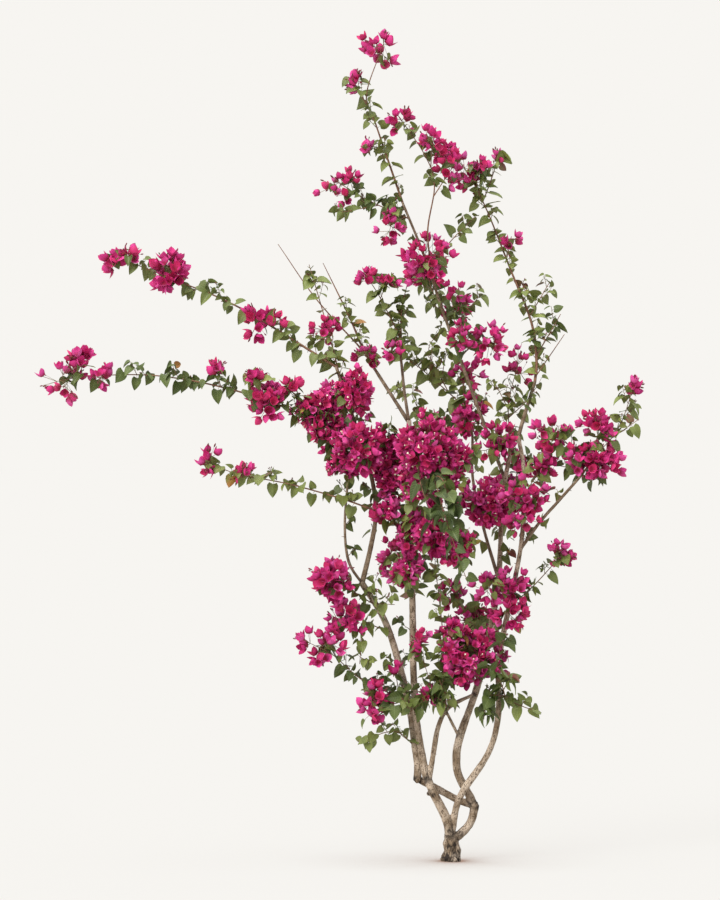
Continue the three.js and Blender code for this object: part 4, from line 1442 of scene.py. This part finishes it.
def veined(name, first, second, vein, form):
    material, tree, shader = newFinish(name, form["roughness"])
    spot = addNode(tree, "ShaderNodeUVMap", uv_map="veins")
    parts = addNode(tree, "ShaderNodeSeparateXYZ", Vector=spot.outputs["UV"]).outputs
    aside = maths(tree, "ABSOLUTE", maths(tree, "SUBTRACT", parts["X"], 0.5))
    slant = maths(tree, "MULTIPLY_ADD", aside, -0.8, parts["Y"])
    ripple = maths(tree, "SINE", maths(tree, "MULTIPLY", slant, form["ribs"] * fullTurn))
    sideVeins = stretched(tree, ripple, 0.82, 1.0)
    midrib = stretched(tree, aside, 0.035, 0.0)
    lines = maths(tree, "MAXIMUM", sideVeins, midrib)
    drift = noiseOn(tree, objectPlace(tree), 26, 2)
    colour = mixTones(tree, stretched(tree, drift, 0.35, 0.65), first, second)
    colour = mixTones(tree, maths(tree, "MULTIPLY", lines, 0.35), colour, vein)
    # Painted shade in the cup's throat, darkest at the bract's foot.
    if "throat" in form:
        colour = mixTones(tree, stretched(tree, parts["Y"], 0.62, 0.05), colour, form["throat"])
    fill(tree, shader.inputs["Base Color"], colour)
    addBump(tree, shader, lines, 0.35, 0.6 * mm)
    return material


leafVein, bractVein = tone(150, 164, 112), tone(150, 14, 70)
leafTones = [
    (tone(90, 104, 44), tone(112, 124, 60)),
    (tone(104, 116, 52), tone(124, 136, 68)),
    (tone(70, 86, 34), tone(90, 106, 46)),
    (tone(110, 124, 56), tone(132, 144, 74)),
    # Painted shade: a darker copy of the leaf tones for leaves hanging in the open, given only in the
    # tables.
    (tone(56, 72, 30), tone(76, 92, 42)),
]
bractTones = [
    (tone(216, 48, 136), tone(228, 70, 158)),
    (tone(222, 66, 154), tone(234, 100, 180)),
    (tone(210, 42, 112), tone(222, 60, 132)),
    (tone(202, 36, 118), tone(216, 56, 142)),
]
leafSkins = [veined(f"leafSkin{i}", *tones, leafVein, leafVeins) for i, tones in enumerate(leafTones)]
blushTones = tone(124, 62, 60), tone(104, 92, 54), tone(160, 96, 84)
turningTones = tone(168, 116, 52), tone(146, 140, 62), tone(190, 160, 90)
blushSkin = veined("blushLeafSkin", *blushTones, leafVeins)
turningSkin = veined("turningLeafSkin", *turningTones, leafVeins)
bractSkins = [veined(f"bractSkin{i}", *tones, bractVein, bractVeins) for i, tones in enumerate(bractTones)]
print("finishes are mixed")


# The limbs that fork low down are one skin of old bark, and the canes and boughs above are another.
oldWood = {
    "limbs": [
        "trunk", "stem_left", "stem_right_foot", "stem_middle", "stem_cross", "stem_far_left",
        "stem_right_inner", "stem_centre", "stem_mid", "brace",
    ],
    "sides": 20,
    "grain": 2.45,  # size of the remesh
    "lumps": 0.12,
    "softened": 3,  # how often the remesh is smoothed
    "relief": 0.55,
    "stretch": 0.22,  # how wide the bark's pattern is for its length
    "rough": 0.13,  # up to this height the bark is old and cracked, in metres
}
canes = {
    "limbs": [name for name in limbs if name not in oldWood["limbs"]],
    "sides": 12,
    "lumps": 0.1,
    "relief": 0.35,
    "stretch": 0.3,
    "rough": 0,
}

# Swellings and cut stubs: [place, way it points, length, radius].
knobs = [
    [[25, -14, 84], [0.12, -0.5, 1], 18, 10],
    [[72, 8, 182], [0.75, -0.4, 0.9], 19, 10],
    [[-110, 8, 268], [-0.8, -0.3, 0.5], 14, 13],
    [[24, -14, 198], [0, -0.2, 1], 16, 12.5],
    [[-78, -18, 226], [0.1, -1, 0.2], 12, 8],
    [[76, -8, 290], [0.9, -0.3, 0.4], 10, 5],
    [[120, -4, 356], [1, -0.2, 0.3], 11, 4.5],
    [[140, 2, 398], [-1, -0.2, 0.5], 9, 4],
    [[-116, 8, 360], [-1, -0.3, 0.2], 10, 4.5],
]
knobTaper = [(0, 1), (0.35, 0.98), (0.7, 0.86), (1, 0.62)]
# Painted shade in forks and round stubs, and dark old wounds, [place, radius].
shadeAndWoundSpots = [
    [[26, -20, 98], 15], [[-8, -28, 100], 13], [[84, 2, 196], 12], [[-80, -34, 232], 11],
    [[-62, -30, 222], 8], [[34, 6, 206], 9], [[-3, -30, 6], 11], [[70, 10, 250], 6], [[-30, -24, 120], 10],
    [[10, -24, 58], 9],
]
spotsBelow = 0.32  # they are all under this height, in metres


def wobbled(radii, number, amount):
    widths = []
    for i, radius in enumerate(radii):
        swell = noise.noise(Vector((number * 3.7, i * 0.055, 0.5)))
        swell += 0.7 * noise.noise(Vector((number, i * 0.21, 4)))
        widths.append(radius * (1 + amount * swell))
    return widths


def limbTubes(name, form, finish):
    paths = []
    for number, limb in enumerate(form["limbs"]):
        paths.append((limbLines[limb], wobbled(limbRadii(limb), number, form["lumps"])))
    if form is oldWood:
        for place, heading, length, radius in knobs:
            heading = unit(np.array(heading, float))
            ends = [np.array(place) * mm + heading * length * mm * share for share, _ in knobTaper]
            paths.append((ends, [radius * wide * mm for _, wide in knobTaper]))
    return tubes(name, paths, form["sides"], finish)


# The bark's patterns as waves in a metre, and how far the oldest bark is pressed, in millimetres.
barkForm = {
    "streaks": 330,
    "plates": 110,
    "lumps": 42,
    "cracks": 90,
    "swirls": 60,
    "patches": 33,
    "stains": 52,
    "crackStretch": 0.42,  # how wide a crack's cell is for its length
    "gnarlDepth": 9.5,
    "plateDepth": 2.5,
    "crackDepth": 3.5,
    "streakDepth": 2.2,
    # Painted shade in forks: how far from a fork it goes, in millimetres, and the thinnest limb that gets
    # it.
    "forkShadeReach": 8,  # how far from a fork its crevice goes, in millimetres
    "forkShadeLeast": 4,  # the thinnest limb with such a crevice
    "foot": 1.6,  # points under this height lie on the ground
    "seed": 20,
}
noise.seed_set(barkForm["seed"])  # without it noise_vector would change from run to run


# What barkAt needs to know of each limb.
def guidesOf(names):
    guides = []
    for name in names:
        line = limbLines[name]
        guides.append((searchTree(line), line, ringsAlong(line), limbRadii(name), limbLengths[name]))
    return guides


# How much painted shade and wound dark the spots put on a place, broken up by the bark's streaks.
def spotAt(place, streak):
    fold = 0.0
    for middle, wide in shadeAndWoundSpots:
        far = math.dist(place / mm, middle) / wide
        if far < 1.3:
            fold = max(fold, min(1, (1.3 - far) * 1.6) * (0.75 + streak))
    return fold


# The place of a point along the nearest limb, how much painted shade and stain darken it, and how far it is
# pushed out.
def barkAt(place, guides, form):
    found = []
    for number, (tree, _, _, radii, _) in enumerate(guides):
        _, index, distance = tree.find(place)
        found.append((distance - radii[index], number, index))
    found.sort()
    _, number, index = found[0]
    _, line, rings, radii, length = guides[number]
    side, front = rings[index]
    offset = place - line[index]
    reach = index / (len(line) - 1) * length + offset.dot(np.cross(front, side))
    spot = np.array([offset.dot(side), offset.dot(front), reach * form["stretch"]]) + number * 0.31
    streak = noise.noise(Vector(spot * barkForm["streaks"]))
    plate = noise.noise(Vector(spot * barkForm["plates"]))
    lump = noise.noise(Vector(spot * barkForm["lumps"]))
    move = form["relief"] * (0.5 * streak + 0.8 * lump + 0.5 * plate)
    fold = 0.0
    old = max(0.0, min(1.0, (form["rough"] - place[2]) / form["rough"])) if form["rough"] else 0.0
    if old > 0:
        crackSpot = Vector((spot[0], spot[1], reach * barkForm["crackStretch"]))
        swirl = noise.noise_vector(crackSpot * barkForm["swirls"]) * 0.012
        near, farther = noise.voronoi((crackSpot + swirl) * barkForm["cracks"])[0][:2]
        patch = max(0.0, 0.7 + 1.6 * noise.noise(crackSpot * barkForm["patches"]))
        crack = max(0.0, 1 - (farther - near) * 3.4) * patch
        stain = max(0.0, noise.noise(crackSpot * barkForm["stains"] + Vector((3, 1, 7))))
        gnarl = noise.noise(Vector((spot[0], spot[1], reach)) * barkForm["lumps"])
        pressed = barkForm["gnarlDepth"] * gnarl + barkForm["plateDepth"] * plate
        pressed -= barkForm["crackDepth"] * crack
        move += old * (pressed + 1.0) + old ** 2 * barkForm["streakDepth"] * streak
        # Painted shade in the pressed cracks, and the bark's stains.
        fold = max(fold, min(1, old ** 0.5 * (1.2 * crack + 1.5 * stain)))
    # Painted shade in a fork, where another limb's bark is near.
    if len(found) > 1 and radii[index] > barkForm["forkShadeLeast"] * mm:
        fold = max(fold, max(0.0, 1 - max(0.0, found[1][0]) / (barkForm["forkShadeReach"] * mm)) ** 2)
    fold = max(fold, max(0.0, 0.14 - abs(plate) * 2.6) * 2.2 * (0.35 + 0.65 * old))
    # Painted shade in forks and round stubs, and dark old wounds, low on the trunk.
    if place[2] < spotsBelow:
        fold = max(fold, spotAt(place, streak))
    return spot, fold, move


# Gives each point of the bark its place along its limb, presses plates, streaks and folds into it, and
# paints shade into its cracks and forks.
def weatherBark(piece, form):
    mesh = piece.data
    guides = guidesOf(form["limbs"])
    spots, folds, moved = [], [], []
    for vertex in mesh.vertices:
        spot, fold, move = barkAt(np.array(vertex.co), guides, form)
        spots.append(spot)
        folds.append(fold)
        pushed = np.array(vertex.co) + np.array(vertex.normal) * move * mm
        pushed[2] = 0 if vertex.co[2] < barkForm["foot"] * mm else max(pushed[2], 0)
        moved.append(pushed)
    mesh.vertices.foreach_set("co", np.ravel(moved))
    setPoints(mesh, "barkPlace", "FLOAT_VECTOR", np.ravel(spots), "vector")
    setPoints(mesh, "shadeAndStain", "FLOAT", np.clip(folds, 0, 1))
    mesh.shade_smooth()
    mesh.update()


def makeOldWood():
    raw = limbTubes("oldWoodRaw", oldWood, oldBark)
    skin = raw.modifiers.new("skin", "REMESH")
    skin.mode = "VOXEL"
    skin.voxel_size = oldWood["grain"] * mm
    soften = raw.modifiers.new("soften", "SMOOTH")
    soften.factor = 0.5
    soften.iterations = oldWood["softened"]
    piece = settled("oldWood", raw)
    piece.data.materials.clear()
    piece.data.materials.append(oldBark)
    weatherBark(piece, oldWood)
    return piece


def makeCanes():
    piece = limbTubes("canes", canes, caneBark)
    weatherBark(piece, canes)
    return piece


def keep(piece, nodes):
    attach(piece, "root")
    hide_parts(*nodes)
    print(f"{piece.name}: {len(piece.data.polygons)} faces")


def keepTubes(name, kind, sides, finish):
    keep(tubes(name, crops[kind], sides, finish), masses)


def keepCrop(name, crop, patterns, finish):
    keep(scattered(name, crop, patterns, finish), masses)


keep(makeOldWood(), oldWood["limbs"])
keep(makeCanes(), canes["limbs"])
keepTubes("sprays", "spray", 7, twigBark)
keepTubes("shoots", "shoot", 4, shootBark)
keepTubes("thorns", "thorn", 4, caneBark)
keepTubes("stalks", "stalk", 3, stalkSkin)
for i, crop in enumerate(leafCrops):
    keepCrop(f"leaves{i}", crop, leafPatterns, leafSkins[i])
keepCrop("leavesBlushed", blushCrop, leafPatterns, blushSkin)
keepCrop("leavesTurning", turningCrop, leafPatterns, turningSkin)
for i, crop in enumerate(bloomCrops):
    keepCrop(f"blooms{i}", crop, bloomPatterns, bractSkins[i])
keepCrop("flowers", crops["flower"], flowerPatterns, flowerSkin)
keepCrop("buds", crops["bud"], budPatterns, budSkin)

for collection in (leafPatterns, bloomPatterns, flowerPatterns, budPatterns):
    for pattern in list(collection.objects):
        bpy.data.objects.remove(pattern)
    bpy.data.collections.remove(collection)
